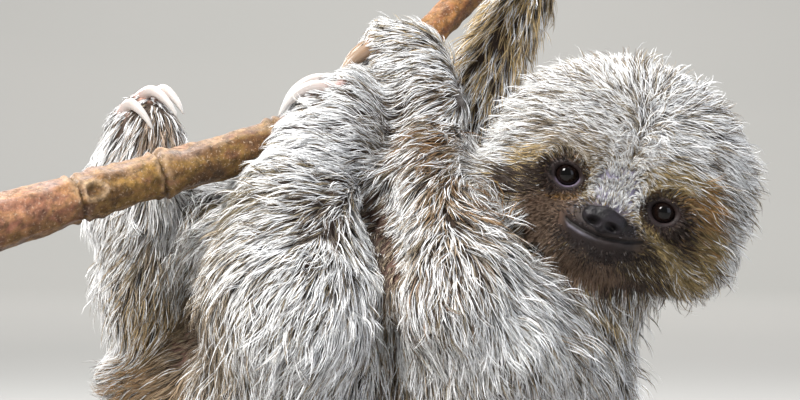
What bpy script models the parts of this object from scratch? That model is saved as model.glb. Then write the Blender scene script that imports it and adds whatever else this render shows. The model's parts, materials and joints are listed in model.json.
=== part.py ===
"""A young three-toed sloth hanging from a short cut branch, on a plain display stand.

Run it with: blender --background --python part.py, or from Blender's text editor.
The frame is in metres, +Z up. The origin is the centre of the base's underside, the sloth's head is
towards +X, and its left side is towards -Y. Positions below are written in millimetres.
Each part of the body is a row of balls wrapped in hulls, out to the tips of the coat. The rows are
fused, smoothed and thinned, and each part is then cut back from the parts that are made before it.
"""

import math

import bmesh
import bpy
from mathutils import Matrix, Vector
from mathutils.bvhtree import BVHTree

MM = 0.001
GAP = 0.35  # between neighbouring solids

# Stand
BASE_LENGTH = 300.0
BASE_WIDTH = 160.0
BASE_THICKNESS = 14.0
BASE_CORNER = 30.0
BASE_CHAMFER = 2.0
ROD_RADIUS = 3.5
PERCH_ROD_AT = (-137.0, -68.5)
PERCH_ROD_TOP = 139.0
BODY_ROD_AT = (2.0, 12.0)
BODY_ROD_TOP = 62.0

# Perch: the branch's centreline (x, y, z) with its radius, rising and receding to the right
PERCH_ROUTE = [
    (-146, -74, 138, 9.6),
    (-131, -65, 143, 9.5),
    (-106, -51, 151, 8.4),
    (-80, -32, 159, 7.9),
    (-52, -15, 167.5, 7.7),
    (-23, 5, 180, 7.0),
    (-5, 20, 193, 6.8),
    (9, 32, 208, 6.4),
    (44, 55, 247, 6.0),
    (85, 79, 293, 5.6),
]
PERCH_STEPS = 4  # points made between two of the route's points
PERCH_SIDES = 2  # bevel resolution: 8 sides round the branch
LEAF_SCARS = (-101, -79, -43.5, 30, 58)  # the x of each raised ring on the branch
SCAR_HEIGHT = 0.9
SCAR_WIDTH = 2.6

# Head: a frame at the point midway between the eyes, turned to one side and leaning over
HEAD_CENTRE = Vector((73.7, -23.0, 152.3))
HEAD_ROLL = math.radians(21.5)
HEAD_YAW = math.radians(4.2)
HEAD_RADIUS = 48.0
EYE_SPACING = 35.6
EYE_RADIUS = 4.9
EYE_FORWARD = 30.2
EYE_SOCKET_RADIUS = 7.6
MOUTH_HALF_WIDTH = 14.0
MOUTH_DROP = 16.2  # below the eyes
MOUTH_LIFT = 3.4  # how far the corners rise
MOUTH_GROOVE = 0.8

# Flesh parts, each a row of (x, y, z, radius), from the trunk outwards
TRUNK = [
    (-65, 3, 74, 35),
    (-35, 9, 82, 47),
    (-5, 13, 91, 56),
    (25, 11, 92, 51),
    (44, 4, 90, 41),
]
NECK = [(48, 4, 100, 29), (60, -6, 122, 29), (68, -10, 138, 30)]
TAIL = [(-80, 5, 82, 12), (-92, 4, 84, 8.5), (-103, 3, 88, 5.5)]
LIMBS = {
    "left": {
        "upper_arm": [(43, -19, 98, 27), (31, -34, 106, 26), (22, -42, 113, 22.5)],
        "forearm": [(18, -45, 119, 24), (13, -26, 148, 18), (10, -4, 174, 14)],
        "hand": [(10, -1, 181, 15.3), (3, 13, 198, 15.8), (-4, 17, 199, 13.5)],
        "thigh": [(-46, -19, 79, 31), (-38, -33, 99, 28)],
        "shank": [(-37, -38, 113, 33), (-34, -20, 148, 24)],
        "foot": [(-50, -13, 149, 12), (-29, -13, 162, 20), (-20, -7, 174, 17.5), (-17, 0, 182, 14)],
    },
    "right": {
        "upper_arm": [(43, 37, 104, 25), (37, 52, 148, 18), (28, 63, 186, 13)],
        "forearm": [(27.5, 63, 188, 15), (54, 75, 241, 11.3)],
        "hand": [(55, 75, 246, 14), (62, 75, 266, 14.5), (64, 68, 272, 12)],
        "thigh": [(-55, 32, 84, 29), (-69, 19, 114, 24), (-74, 13, 136, 14.5)],
        "shank": [(-83, 14, 98, 18), (-91, 7, 120, 17), (-94, 1, 136, 14.5)],
        "foot": [(-94, 1, 142, 16.2), (-94.5, 1, 156, 15.6), (-89, -3, 170.5, 15)],
    },
}

# Claws: (base, tip, height of the bow over the chord, direction of the bow)
CLAW_RADIUS = 2.1
CLAW_TIP_RADIUS = 0.55
CLAW_STEPS = 7
CLAW_CLEARANCE = 0.5  # between a claw and the bark
UP_LEFT = Vector((-0.35, 0.0, 0.94))
CLAWS = {
    "hand_left": [
        ((-9, 4, 203), (-22, 0, 184), 4.8, Vector((-0.8, -0.1, 0.6))),
        ((-8, 13, 206), (-21, 12, 187), 4.8, Vector((-0.8, 0.0, 0.6))),
        ((-7, 22, 205), (-19, 23, 187), 4.8, Vector((-0.8, 0.2, 0.6))),
    ],
    "foot_left": [
        ((-21, -14, 187), (-41.5, -15, 179.5), 6.2, UP_LEFT),
        ((-20, -4, 189.5), (-40.5, -6.5, 183), 6.2, UP_LEFT),
        ((-19, 6, 190), (-38, 4, 182), 6.2, UP_LEFT),
    ],
    "foot_right": [
        ((-96, -7, 178.5), (-85.5, -18, 175), 7.0, UP_LEFT),
        ((-90, -2, 184.5), (-77.5, -13, 179.5), 6.0, UP_LEFT),
        ((-84.5, 3, 186), (-75.5, -8, 180.5), 5.0, UP_LEFT),
    ],
    "hand_right": [
        ((56, 66, 280.5), (54, 48, 270), 5.5, Vector((-0.2, -0.3, 0.9))),
        ((63, 69, 283.5), (62, 51, 276), 5.5, Vector((-0.2, -0.3, 0.9))),
        ((70, 72, 284), (69, 54, 282), 5.5, Vector((-0.2, -0.3, 0.9))),
    ],
}

# How fine the fused forms are made, and how many triangles each kind of part keeps
FUSE_VOXEL = 2.6
HULL_BALL_SEGMENTS = 20
HULL_BALL_RINGS = 12
TRIANGLES = {
    "head": 900,
    "trunk": 480,
    "neck": 140,
    "tail": 90,
    "upper_arm": 140,
    "forearm": 150,
    "hand": 170,
    "thigh": 150,
    "shank": 150,
    "foot": 180,
    "nose": 140,
}
CUT_KEEPS = (0.65, 0.75, 0.85)  # shares of the triangles to try after a cut, which leaves slivers


COLOURS = {  # linear colour, roughness, metallic
    "coat": ((0.55, 0.47, 0.37, 1), 0.85, 0.0),
    "face": ((0.42, 0.35, 0.28, 1), 0.8, 0.0),
    "claw": ((0.72, 0.66, 0.58, 1), 0.4, 0.0),
    "eye": ((0.02, 0.012, 0.01, 1), 0.08, 0.0),
    "nose": ((0.045, 0.035, 0.035, 1), 0.45, 0.0),
    "bark": ((0.28, 0.17, 0.08, 1), 0.7, 0.0),
    "base": ((0.1, 0.055, 0.03, 1), 0.4, 0.0),
    "rod": ((0.55, 0.55, 0.55, 1), 0.3, 1.0),
}


def clear_scene():
    for thing in list(bpy.data.objects):
        bpy.data.objects.remove(thing, do_unlink=True)


def make_collection(name, helper=False):
    collection = bpy.data.collections.new(name)
    bpy.context.scene.collection.children.link(collection)
    collection.hide_render = helper
    return collection


def material(kind):
    found = bpy.data.materials.get(kind)
    if found:
        return found
    colour, roughness, metallic = COLOURS[kind]
    made = bpy.data.materials.new(kind)
    made.use_nodes = True
    shader = made.node_tree.nodes["Principled BSDF"]
    shader.inputs["Base Color"].default_value = colour
    shader.inputs["Roughness"].default_value = roughness
    shader.inputs["Metallic"].default_value = metallic
    made.diffuse_color = colour
    return made


def object_from(name, mesh, collection, kind):
    made = bpy.data.objects.new(name, mesh)
    collection.objects.link(made)
    if kind:
        mesh.materials.clear()
        mesh.materials.append(material(kind))
    return made


def applied(thing, name, collection, kind):
    """A new mesh object with thing's modifiers applied, in place of thing."""
    bpy.context.view_layer.update()
    graph = bpy.context.evaluated_depsgraph_get()
    mesh = bpy.data.meshes.new_from_object(thing.evaluated_get(graph))
    mesh.transform(thing.matrix_world)
    bpy.data.objects.remove(thing, do_unlink=True)
    return object_from(name, mesh, collection, kind)


def ball(mesh, matrix, segments=HULL_BALL_SEGMENTS, rings=HULL_BALL_RINGS):
    bmesh.ops.create_uvsphere(mesh, u_segments=segments, v_segments=rings, radius=1.0, matrix=matrix)


def ball_matrix(centre, radii, axes=None):
    """Places a unit ball at centre, with its radii along axes."""
    scale = Matrix.Diagonal((*radii, 1.0))
    turn = axes.to_4x4() if axes else Matrix.Identity(4)
    return Matrix.Translation(Vector(centre) * MM) @ turn @ scale


def hull_of(target, matrices):
    """Adds to target the convex hull of unit balls at these places."""
    local = bmesh.new()
    for matrix in matrices:
        ball(local, matrix)
    found = bmesh.ops.convex_hull(local, input=local.verts)
    inner = [v for v in found["geom_interior"] if isinstance(v, bmesh.types.BMVert)]
    bmesh.ops.delete(local, geom=inner, context="VERTS")
    mesh = bpy.data.meshes.new("hull")
    local.to_mesh(mesh)
    local.free()
    target.from_mesh(mesh)
    bpy.data.meshes.remove(mesh)


def fused(name, shapes, collection, kind, triangles, voxel=FUSE_VOXEL, smooth=6):
    """One smooth closed solid from overlapping hulls."""
    whole = bmesh.new()
    for matrices in shapes:
        hull_of(whole, matrices)
    mesh = bpy.data.meshes.new(name)
    whole.to_mesh(mesh)
    whole.free()
    rough = object_from(name + "_rough", mesh, collection, None)
    fuse = rough.modifiers.new("fuse", "REMESH")
    fuse.mode = "VOXEL"
    fuse.voxel_size = voxel * MM
    soften = rough.modifiers.new("soften", "SMOOTH")
    soften.factor = 0.5
    soften.iterations = smooth
    fine = applied(rough, name + "_fine", collection, None)
    fine.data.calc_loop_triangles()
    thin = fine.modifiers.new("thin", "DECIMATE")
    thin.ratio = min(1.0, triangles / len(fine.data.loop_triangles))
    return applied(fine, name, collection, kind)


def row_of_hulls(row):
    """The hulls that join each ball of a row to the next."""
    places = [ball_matrix(step[:3], [step[3] * MM] * 3) for step in row]
    if len(places) == 1:
        return [places]
    return [[a, b] for a, b in zip(places, places[1:])]


def tree_of(thing):
    mesh = bmesh.new()
    mesh.from_mesh(thing.data)
    tree = BVHTree.FromBMesh(mesh)
    mesh.free()
    return tree


def touches(thing, other):
    """True where the surfaces cross, once other has grown by the gap."""
    return bool(tree_of(thing).overlap(tree_of(other)))


def grown(thing, cutters):
    """A copy of thing, larger by the gap all over."""
    copy = object_from(thing.name + "_cutter", thing.data.copy(), cutters, None)
    swell = copy.modifiers.new("swell", "DISPLACE")
    swell.mid_level = 0.0
    swell.strength = GAP * MM
    cutter = applied(copy, thing.name + "_cutter", cutters, None)
    cutter.hide_render = True
    cutter.display_type = "WIRE"
    return cutter


def keep_largest(thing):
    """Drops the crumbs that a cut can leave."""
    mesh = bmesh.new()
    mesh.from_mesh(thing.data)
    unseen = set(mesh.verts)
    islands = []
    while unseen:
        front = [unseen.pop()]
        island = list(front)
        while front:
            vertex = front.pop()
            for edge in vertex.link_edges:
                other = edge.other_vert(vertex)
                if other in unseen:
                    unseen.remove(other)
                    front.append(other)
                    island.append(other)
        islands.append(island)
    islands.sort(key=len)
    for island in islands[:-1]:
        bmesh.ops.delete(mesh, geom=island, context="VERTS")
    bmesh.ops.triangulate(mesh, faces=mesh.faces)
    mesh.to_mesh(thing.data)
    mesh.free()


def is_closed(thing):
    """True where every edge joins exactly two faces."""
    mesh = bmesh.new()
    mesh.from_mesh(thing.data)
    closed = all(edge.is_manifold for edge in mesh.edges)
    mesh.free()
    return closed


def thinned(thing, neighbours, name, collection, kind):
    """Thins a cut solid as far as it still clears its neighbours."""
    for share in CUT_KEEPS:
        trial = object_from(name + "_trial", thing.data.copy(), collection, kind)
        thin = trial.modifiers.new("thin", "DECIMATE")
        thin.ratio = share
        trial = applied(trial, name + "_thin", collection, kind)
        if is_closed(trial) and not any(touches(trial, other) for other in neighbours):
            bpy.data.objects.remove(thing, do_unlink=True)
            trial.name = name
            return trial
        bpy.data.objects.remove(trial, do_unlink=True)
    return thing


def cut_back(thing, earlier, cutters, collection, kind):
    """Cuts thing back from the earlier solids that it meets, and returns what is left."""
    name = thing.name
    around = make_collection(name + "_neighbours", helper=True)
    neighbours = []
    for other in earlier:
        cutter = grown(other, cutters)
        if touches(thing, cutter):
            around.objects.link(cutter)
            neighbours.append(other)
        else:
            bpy.data.objects.remove(cutter, do_unlink=True)
    if neighbours:
        cut = thing.modifiers.new("cut", "BOOLEAN")
        cut.operation = "DIFFERENCE"
        cut.operand_type = "COLLECTION"
        cut.collection = around
        thing.name = name + "_uncut"
        thing = applied(thing, name, collection, kind)
        keep_largest(thing)
        thing = thinned(thing, neighbours, name, collection, kind)
    for cutter in list(around.objects):
        bpy.data.objects.remove(cutter, do_unlink=True)
    bpy.data.collections.remove(around)
    return thing


def smooth_point(route, i, t):
    """A point of the smooth curve through the route, between its points i and i + 1."""
    a, b = Vector(route[i]), Vector(route[i + 1])
    before = Vector(route[max(i - 1, 0)])
    after = Vector(route[min(i + 2, len(route) - 1)])
    out_slope = (b - before) / 2
    in_slope = (after - a) / 2
    return (
        a * (2 * t**3 - 3 * t**2 + 1)
        + out_slope * (t**3 - 2 * t**2 + t)
        + b * (3 * t**2 - 2 * t**3)
        + in_slope * (t**3 - t**2)
    )


def tube(name, points, collection, kind, sides):
    """A closed tube along points, each (x, y, z, radius)."""
    data = bpy.data.curves.new(name, "CURVE")
    data.dimensions = "3D"
    data.bevel_depth = MM
    data.bevel_resolution = sides
    data.use_fill_caps = True
    spline = data.splines.new("POLY")
    spline.points.add(len(points) - 1)
    for target, point in zip(spline.points, points):
        target.co = (*(Vector(point[:3]) * MM), 1.0)
        target.radius = point[3]
    curve = bpy.data.objects.new(name + "_curve", data)
    collection.objects.link(curve)
    made = applied(curve, name, collection, kind)
    mesh = bmesh.new()
    mesh.from_mesh(made.data)
    bmesh.ops.remove_doubles(mesh, verts=mesh.verts, dist=0.02 * MM)
    bmesh.ops.recalc_face_normals(mesh, faces=mesh.faces)
    mesh.to_mesh(made.data)
    mesh.free()
    return made


def make_base(collection):
    """A board with round corners and a chamfered rim."""
    mesh = bmesh.new()
    bmesh.ops.create_cube(mesh, size=1.0)
    bmesh.ops.scale(mesh, verts=mesh.verts, vec=Vector((BASE_LENGTH, BASE_WIDTH, BASE_THICKNESS)) * MM)
    bmesh.ops.translate(mesh, verts=mesh.verts, vec=(0, 0, BASE_THICKNESS / 2 * MM))
    upright = [e for e in mesh.edges if abs(e.verts[0].co.z - e.verts[1].co.z) > MM]
    bmesh.ops.bevel(mesh, geom=upright, offset=BASE_CORNER * MM, segments=8, profile=0.5, affect="EDGES")
    data = bpy.data.meshes.new("stand_base")
    mesh.to_mesh(data)
    mesh.free()
    board = object_from("stand_base", data, collection, "base")
    rim = board.modifiers.new("rim", "BEVEL")
    rim.width = BASE_CHAMFER * MM
    rim.segments = 2
    rim.limit_method = "ANGLE"
    rim.angle_limit = math.radians(60)
    return board


def make_rod(name, at, top, collection):
    bottom = BASE_THICKNESS + GAP
    points = [(*at, bottom, ROD_RADIUS), (*at, top, ROD_RADIUS)]
    return tube(name, points, collection, "rod", 4)


def make_perch(rods, cutters, collection):
    """The branch, with raised leaf scars, drilled for its rod."""
    points = []
    last = len(PERCH_ROUTE) - 2
    for i in range(last + 1):
        start, end = PERCH_ROUTE[i][0], PERCH_ROUTE[i + 1][0]
        places = [step / PERCH_STEPS for step in range(PERCH_STEPS + (i == last))]
        for scar in LEAF_SCARS:
            if start <= scar < end:
                middle = (scar - start) / (end - start)
                rim = SCAR_WIDTH / (end - start)
                places = [t for t in places if abs(t - middle) > rim * 1.6]
                places += [middle - rim, middle, middle + rim]
        for t in sorted(places):
            x, y, z, radius = smooth_point(PERCH_ROUTE, i, t)
            if any(abs(t * (end - start) + start - scar) < 0.01 for scar in LEAF_SCARS):
                radius += SCAR_HEIGHT
            points.append((x, y, z, radius))
    perch = tube("perch", points, collection, "bark", PERCH_SIDES)
    return cut_back(perch, rods, cutters, collection, "bark")


def off_the_branch(place, radius):
    """Moves a claw's point straight out where it would sink into the branch."""
    steps = 10
    nearest, distance = None, 1e9
    for i in range(len(PERCH_ROUTE) - 1):
        for step in range(steps):
            *centre, branch = smooth_point(PERCH_ROUTE, i, step / steps)
            away = place - Vector(centre)
            if away.length < distance:
                nearest, distance, reach = Vector(centre), away.length, branch + radius + CLAW_CLEARANCE
    if distance < reach:
        return nearest + (place - nearest) * reach / distance
    return place


def make_claws(collection):
    claws = []
    for paw, row in CLAWS.items():
        for number, (base, tip, bow, way) in enumerate(row, 1):
            base, tip = Vector(base), Vector(tip)
            points = []
            for step in range(CLAW_STEPS):
                t = step / (CLAW_STEPS - 1)
                place = base.lerp(tip, t) + way.normalized() * bow * math.sin(math.pi * t**0.85)
                radius = CLAW_TIP_RADIUS + (CLAW_RADIUS - CLAW_TIP_RADIUS) * (1 - t) ** 0.6
                points.append((*off_the_branch(place, radius), radius))
            claws.append(tube(f"claw_{paw}_{number}", points, collection, "claw", 1))
    return claws


def head_axes():
    """Columns: the sloth's own left (which shows on the right), up, and forward."""
    lean = Matrix.Rotation(HEAD_ROLL, 3, "Y")
    turn = Matrix.Rotation(-HEAD_YAW, 3, "Z")
    forward = turn @ Vector((0, -1, 0))
    up = turn @ lean @ Vector((0, 0, 1))
    return Matrix((up.cross(forward), up, forward)).transposed()


def on_head(side, up, forward):
    """A place in millimetres, from one given in the head's own frame."""
    return HEAD_CENTRE + head_axes() @ Vector((side, up, forward))


def head_ball(place, radii):
    return ball_matrix(on_head(*place), [r * MM for r in radii], head_axes())


def make_eyes(collection):
    eyes = []
    for name, sign in (("eye_right", -1), ("eye_left", 1)):
        mesh = bmesh.new()
        place = (sign * EYE_SPACING / 2, 0, EYE_FORWARD)
        ball(mesh, head_ball(place, [EYE_RADIUS] * 3), segments=14, rings=9)
        data = bpy.data.meshes.new(name)
        mesh.to_mesh(data)
        mesh.free()
        eyes.append(object_from(name, data, collection, "eye"))
    return eyes


def make_nose(collection):
    """The bare pad, wide and low, over the lip."""
    shapes = [
        [head_ball((-4.2, -8.6, 40.5), (3.6, 3.8, 4.2)), head_ball((4.2, -8.6, 40.5), (3.6, 3.8, 4.2))],
        [head_ball((0, -7.4, 41), (5.0, 4.0, 4.2)), head_ball((0, -12.2, 40.5), (2.2, 2.0, 3.4))],
    ]
    return fused("nose", shapes, collection, "nose", TRIANGLES["nose"], voxel=0.7, smooth=3)


def mouth_cutter(cutters):
    """A bent tube along the smile, to cut its line."""
    points = []
    steps = 15
    for step in range(steps):
        side = MOUTH_HALF_WIDTH * (2 * step / (steps - 1) - 1)
        share = abs(side) / MOUTH_HALF_WIDTH
        up = -MOUTH_DROP + MOUTH_LIFT * share**2
        forward = 43.8 - 11.5 * share**2.2
        points.append((*on_head(side, up, forward), MOUTH_GROOVE))
    cutter = tube("mouth_cutter", points, cutters, None, 1)
    cutter.hide_render = True
    cutter.display_type = "WIRE"
    return cutter


def make_head(collection, cutters):
    """The furry ball of the head, with its short muzzle, brows, cheeks and small hidden ears."""
    shapes = [
        [head_ball((0, 6, -2), (47.5, 41, 40))],
        [head_ball((0, -2, 0), (47, 29, 37))],
        [head_ball((-26, -8, 2), (22, 20, 24)), head_ball((26, -8, 2), (22, 20, 24))],
        [head_ball((0, -12, 26), (17, 12.5, 15.5))],
        [head_ball((0, -17, 24), (14, 9.5, 14.5))],
        [head_ball((0, -4, 28), (9.5, 9, 10.5))],
        [head_ball((-37, 2, -8), (9, 8, 7))],
        [head_ball((37, 2, -8), (9, 8, 7))],
    ]
    head = fused("head", shapes, collection, "face", TRIANGLES["head"] * 2, voxel=1.7, smooth=5)
    for sign in (-1, 1):
        mesh = bmesh.new()
        place = (sign * (EYE_SPACING / 2 + 0.6), -0.3, EYE_FORWARD + 6.5)
        ball(mesh, head_ball(place, (EYE_SOCKET_RADIUS, EYE_SOCKET_RADIUS - 1, 5.4)))
        data = bpy.data.meshes.new("socket")
        mesh.to_mesh(data)
        mesh.free()
        socket = object_from("socket", data, cutters, None)
        carve = head.modifiers.new("socket", "BOOLEAN")
        carve.operation = "DIFFERENCE"
        carve.object = socket
        head = applied(head, "head", collection, "face")
        bpy.data.objects.remove(socket, do_unlink=True)
    thin = head.modifiers.new("thin", "DECIMATE")
    head.data.calc_loop_triangles()
    thin.ratio = min(1.0, TRIANGLES["head"] / len(head.data.loop_triangles))
    head = applied(head, "head", collection, "face")
    cutter = mouth_cutter(cutters)
    smile = head.modifiers.new("smile", "BOOLEAN")
    smile.operation = "DIFFERENCE"
    smile.object = cutter
    head = applied(head, "head", collection, "face")
    bpy.data.objects.remove(cutter, do_unlink=True)
    keep_largest(head)
    return head


def main():
    clear_scene()
    model = make_collection("three_toed_sloth")
    cutters = make_collection("cutters", helper=True)
    board = make_base(model)
    rods = [
        make_rod("stand_rod_perch", PERCH_ROD_AT, PERCH_ROD_TOP, model),
        make_rod("stand_rod_body", BODY_ROD_AT, BODY_ROD_TOP, model),
    ]
    done = [board, *rods, make_perch(rods, cutters, model)]
    done += make_claws(model)
    done += make_eyes(model)
    nose = make_nose(model)
    done.append(nose)
    done.append(cut_back(make_head(model, cutters), done, cutters, model, "face"))
    # Paws first, then up each limb, so that the trunk gives way last.
    for segment in ("hand", "foot", "forearm", "shank", "upper_arm", "thigh"):
        for side in ("left", "right"):
            shapes = row_of_hulls(LIMBS[side][segment])
            name = f"{segment}_{side}"
            solid = fused(name, shapes, model, "coat", TRIANGLES[segment])
            done.append(cut_back(solid, done, cutters, model, "coat"))
    for name, row in (("tail", TAIL), ("neck", NECK), ("trunk", TRUNK)):
        solid = fused(name, row_of_hulls(row), model, "coat", TRIANGLES[name])
        done.append(cut_back(solid, done, cutters, model, "coat"))
    for solid in done:
        solid.data.shade_smooth()
    for kind in (board, *rods):
        kind.data.set_sharp_from_angle(angle=math.radians(35))


main()
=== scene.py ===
import heapq
import json
import math

import bmesh
import bpy
import numpy as np
from mathutils import Matrix, Vector
from mathutils.bvhtree import BVHTree


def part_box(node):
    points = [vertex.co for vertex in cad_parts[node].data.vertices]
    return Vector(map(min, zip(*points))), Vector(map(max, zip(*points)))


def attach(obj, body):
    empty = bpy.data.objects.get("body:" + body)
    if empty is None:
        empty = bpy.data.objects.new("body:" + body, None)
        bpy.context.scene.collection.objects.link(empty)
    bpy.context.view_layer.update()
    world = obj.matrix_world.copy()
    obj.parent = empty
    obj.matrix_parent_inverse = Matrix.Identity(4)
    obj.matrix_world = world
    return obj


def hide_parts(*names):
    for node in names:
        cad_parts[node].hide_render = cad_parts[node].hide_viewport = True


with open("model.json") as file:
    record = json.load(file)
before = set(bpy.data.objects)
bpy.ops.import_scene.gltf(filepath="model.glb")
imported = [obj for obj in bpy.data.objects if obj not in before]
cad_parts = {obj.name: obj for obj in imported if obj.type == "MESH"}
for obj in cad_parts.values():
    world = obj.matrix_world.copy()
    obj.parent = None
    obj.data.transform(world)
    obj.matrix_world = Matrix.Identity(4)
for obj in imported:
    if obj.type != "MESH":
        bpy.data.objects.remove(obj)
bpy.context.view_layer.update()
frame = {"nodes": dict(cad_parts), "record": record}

mm = 0.001
everything = {"seed": 11, "previewShare": 0.35}


# sRGB hex code to linear
def linear(hexCode):
    parts = [int(hexCode[i : i + 2], 16) / 255 for i in (1, 3, 5)]
    return tuple(c / 12.92 if c <= 0.04045 else ((c + 0.055) / 1.055) ** 2.4 for c in parts) + (1.0,)


def rgb(hexCode):
    return np.array(linear(hexCode)[:3])


def plug(tree, node, inputs):
    # each socket takes a plain value, a socket, or another node, whose first live output is then used
    for socket, value in inputs.items():
        if isinstance(value, bpy.types.Node):
            value = next(output for output in value.outputs if output.enabled)
        if isinstance(value, bpy.types.NodeSocket):
            tree.links.new(value, node.inputs[socket])
        else:
            node.inputs[socket].default_value = value


def addNode(tree, kind, inputs=None, stops=(), **settings):
    node = tree.nodes.new(kind)
    for key, value in settings.items():
        setattr(node, key, value)
    plug(tree, node, inputs or {})
    if stops:
        bar = node.color_ramp.elements
        while len(bar) < len(stops):
            bar.new(0.5)
        for element, (place, colour) in zip(bar, stops):
            element.position = place
            element.color = linear(colour)
    return node


def newMaterial(name, finish):
    made = bpy.data.materials.new(name)
    made.use_nodes = True
    tree = made.node_tree
    shader = tree.nodes["Principled BSDF"]
    plug(tree, shader, finish)
    return made, tree, shader


def perMetre(*sizes):
    # texture scale for a pattern of this size in mm
    scales = [1000 / size for size in sizes]
    return scales if len(scales) > 1 else scales[0]


def smooth(low, high, value):
    t = np.clip((np.asarray(value, float) - low) / (high - low), 0.0, 1.0)
    return t * t * (3 - 2 * t)


def bell(value, width, middle=0.0):
    return np.exp(-(((value - middle) / width) ** 2))


def mix(a, b, share):
    # numbers, or rows of three, by one share for all or one each
    share = np.asarray(share, float)
    if share.ndim == 1 and (3,) in (np.shape(a)[-1:], np.shape(b)[-1:]):
        share = share[:, None]
    return a * (1 - share) + b * share


def unit(v):
    return v / np.maximum(np.linalg.norm(v, axis=-1, keepdims=True), 1e-9)


def dot(a, b):
    return (a * b).sum(-1)


def distance(points, place):
    return np.linalg.norm(points - np.array(place), axis=1)


def waves(points, wavelength, seed, count=7):
    # soft noise from -1 to 1 at any points, in mm
    chance = np.random.default_rng(seed)
    total = np.zeros(len(points))
    for _ in range(count):
        way = unit(chance.normal(size=3)) * 2 * math.pi / (wavelength * chance.uniform(0.7, 1.5))
        total += np.sin(points @ way + chance.uniform(0, 2 * math.pi))
    return total / math.sqrt(count) / 1.4


# lines are rows of points in mm
def onLine(line, at, marks=None):
    marks = np.linspace(0, 1, len(line)) if marks is None else marks
    return np.stack([np.interp(at, marks, line[:, axis]) for axis in range(3)], -1)


def runOf(line):
    # how far along the line each of its points is
    return np.concatenate(([0], np.cumsum(np.linalg.norm(np.diff(line, axis=0), axis=1))))


def evenOut(line, rounds):
    for _ in range(rounds):
        line[1:-1] = (line[:-2] + 2 * line[1:-1] + line[2:]) / 4
    return line


# meshes are worked on as arrays, in mm
def readAll(items, key, width, kind=np.float32):
    flat = np.empty(len(items) * width, kind)
    items.foreach_get(key, flat)
    return flat.reshape(-1, width)


def pointsOf(mesh):
    return readAll(mesh.vertices, "co", 3).astype(float) / mm


def normalsOf(mesh):
    return readAll(mesh.vertex_normals, "vector", 3).astype(float)


def edgesOf(mesh):
    return readAll(mesh.edges, "vertices", 2, np.int32)


def setPoints(mesh, points):
    mesh.vertices.foreach_set("co", (points * mm).astype(np.float32).ravel())
    mesh.update()


def setColours(mesh, name, colours):
    layer = mesh.color_attributes.new(name, "FLOAT_COLOR", "POINT")
    full = np.ones((len(colours), 4), np.float32)
    full[:, :3] = colours
    layer.data.foreach_set("color", full.ravel())


def setNumbers(mesh, name, numbers):
    layer = mesh.attributes.new(name, "FLOAT", "POINT")
    layer.data.foreach_set("value", np.asarray(numbers, np.float32))


def shapeOf(mesh):
    shape = bmesh.new()
    shape.from_mesh(mesh)
    return shape


def meshFrom(shape, name):
    mesh = bpy.data.meshes.new(name)
    shape.to_mesh(mesh)
    shape.free()
    return mesh


def addObject(name, data):
    made = bpy.data.objects.new(name, data)
    bpy.context.scene.collection.objects.link(made)
    return made


def piece(name, mesh, material, slot, *nodes):
    made = addObject(name, mesh)
    mesh.materials.clear()
    mesh.materials.append(material)
    mesh.shade_smooth()
    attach(made, "root")
    if nodes:
        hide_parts(*nodes)
    return made


def joined(nodes, swell=0.0):
    # one mesh from these CAD nodes, welded, each pushed out a little so that neighbours overlap
    whole = bmesh.new()
    for name in nodes:
        part = shapeOf(frame["nodes"][name].data)
        bmesh.ops.remove_doubles(part, verts=part.verts, dist=0.01 * mm)
        bmesh.ops.recalc_face_normals(part, faces=part.faces)
        part.normal_update()
        for vertex in part.verts:
            vertex.co += vertex.normal * swell * mm
        mesh = meshFrom(part, "part")
        whole.from_mesh(mesh)
        bpy.data.meshes.remove(mesh)
    return meshFrom(whole, "joined")


def remeshed(mesh, voxel, iterations):
    helper = addObject("helper", mesh)
    cells = helper.modifiers.new("cells", "REMESH")
    cells.mode = "VOXEL"
    cells.voxel_size = voxel * mm
    soften = helper.modifiers.new("soften", "SMOOTH")
    soften.factor = 0.5
    soften.iterations = iterations
    graph = bpy.context.evaluated_depsgraph_get()
    made = bpy.data.meshes.new_from_object(helper.evaluated_get(graph))
    bpy.data.objects.remove(helper, do_unlink=True)
    return made


# camera, lamps and floor, in metres
view = {
    "camera": (0.0, -1.015, 0.150),
    "lens": 130.43,
    "floor": ("#9C9B98", "#A19F9C"),
    "floorCloud": 165,  # mm across
    "sweep": (-5.0, 3.8, 1.2, 4.0),  # near edge, where the floor starts to rise, radius of the rise, top
    "sky": "#DCE2EA",
    "skyStrength": 0.38,
}
lamps = {  # place, aimed at, size across, watts, colour
    "key": ((-0.75, -0.95, 1.15), (0, 0, 0.13), 0.5, 42, "#FFFDFA"),
    "fill": ((1.1, -1.1, 0.5), (0.02, 0, 0.13), 1.0, 6.5, "#E6EEFF"),
    "rimLeft": ((-0.8, 0.75, 0.75), (0, 0, 0.14), 0.45, 13, "#FCFDFF"),
    "rimRight": ((0.75, 0.7, 0.7), (0.05, 0, 0.14), 0.45, 10, "#FCFDFF"),
    "top": ((0.0, 0.1, 1.3), (0, 0, 0.1), 0.7, 13, "#FFFFFF"),
    "backdrop": ((0.0, 3.2, 3.0), (0, 3.9, 0.0), 2.6, 150, "#FFFEFB"),
}


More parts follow.
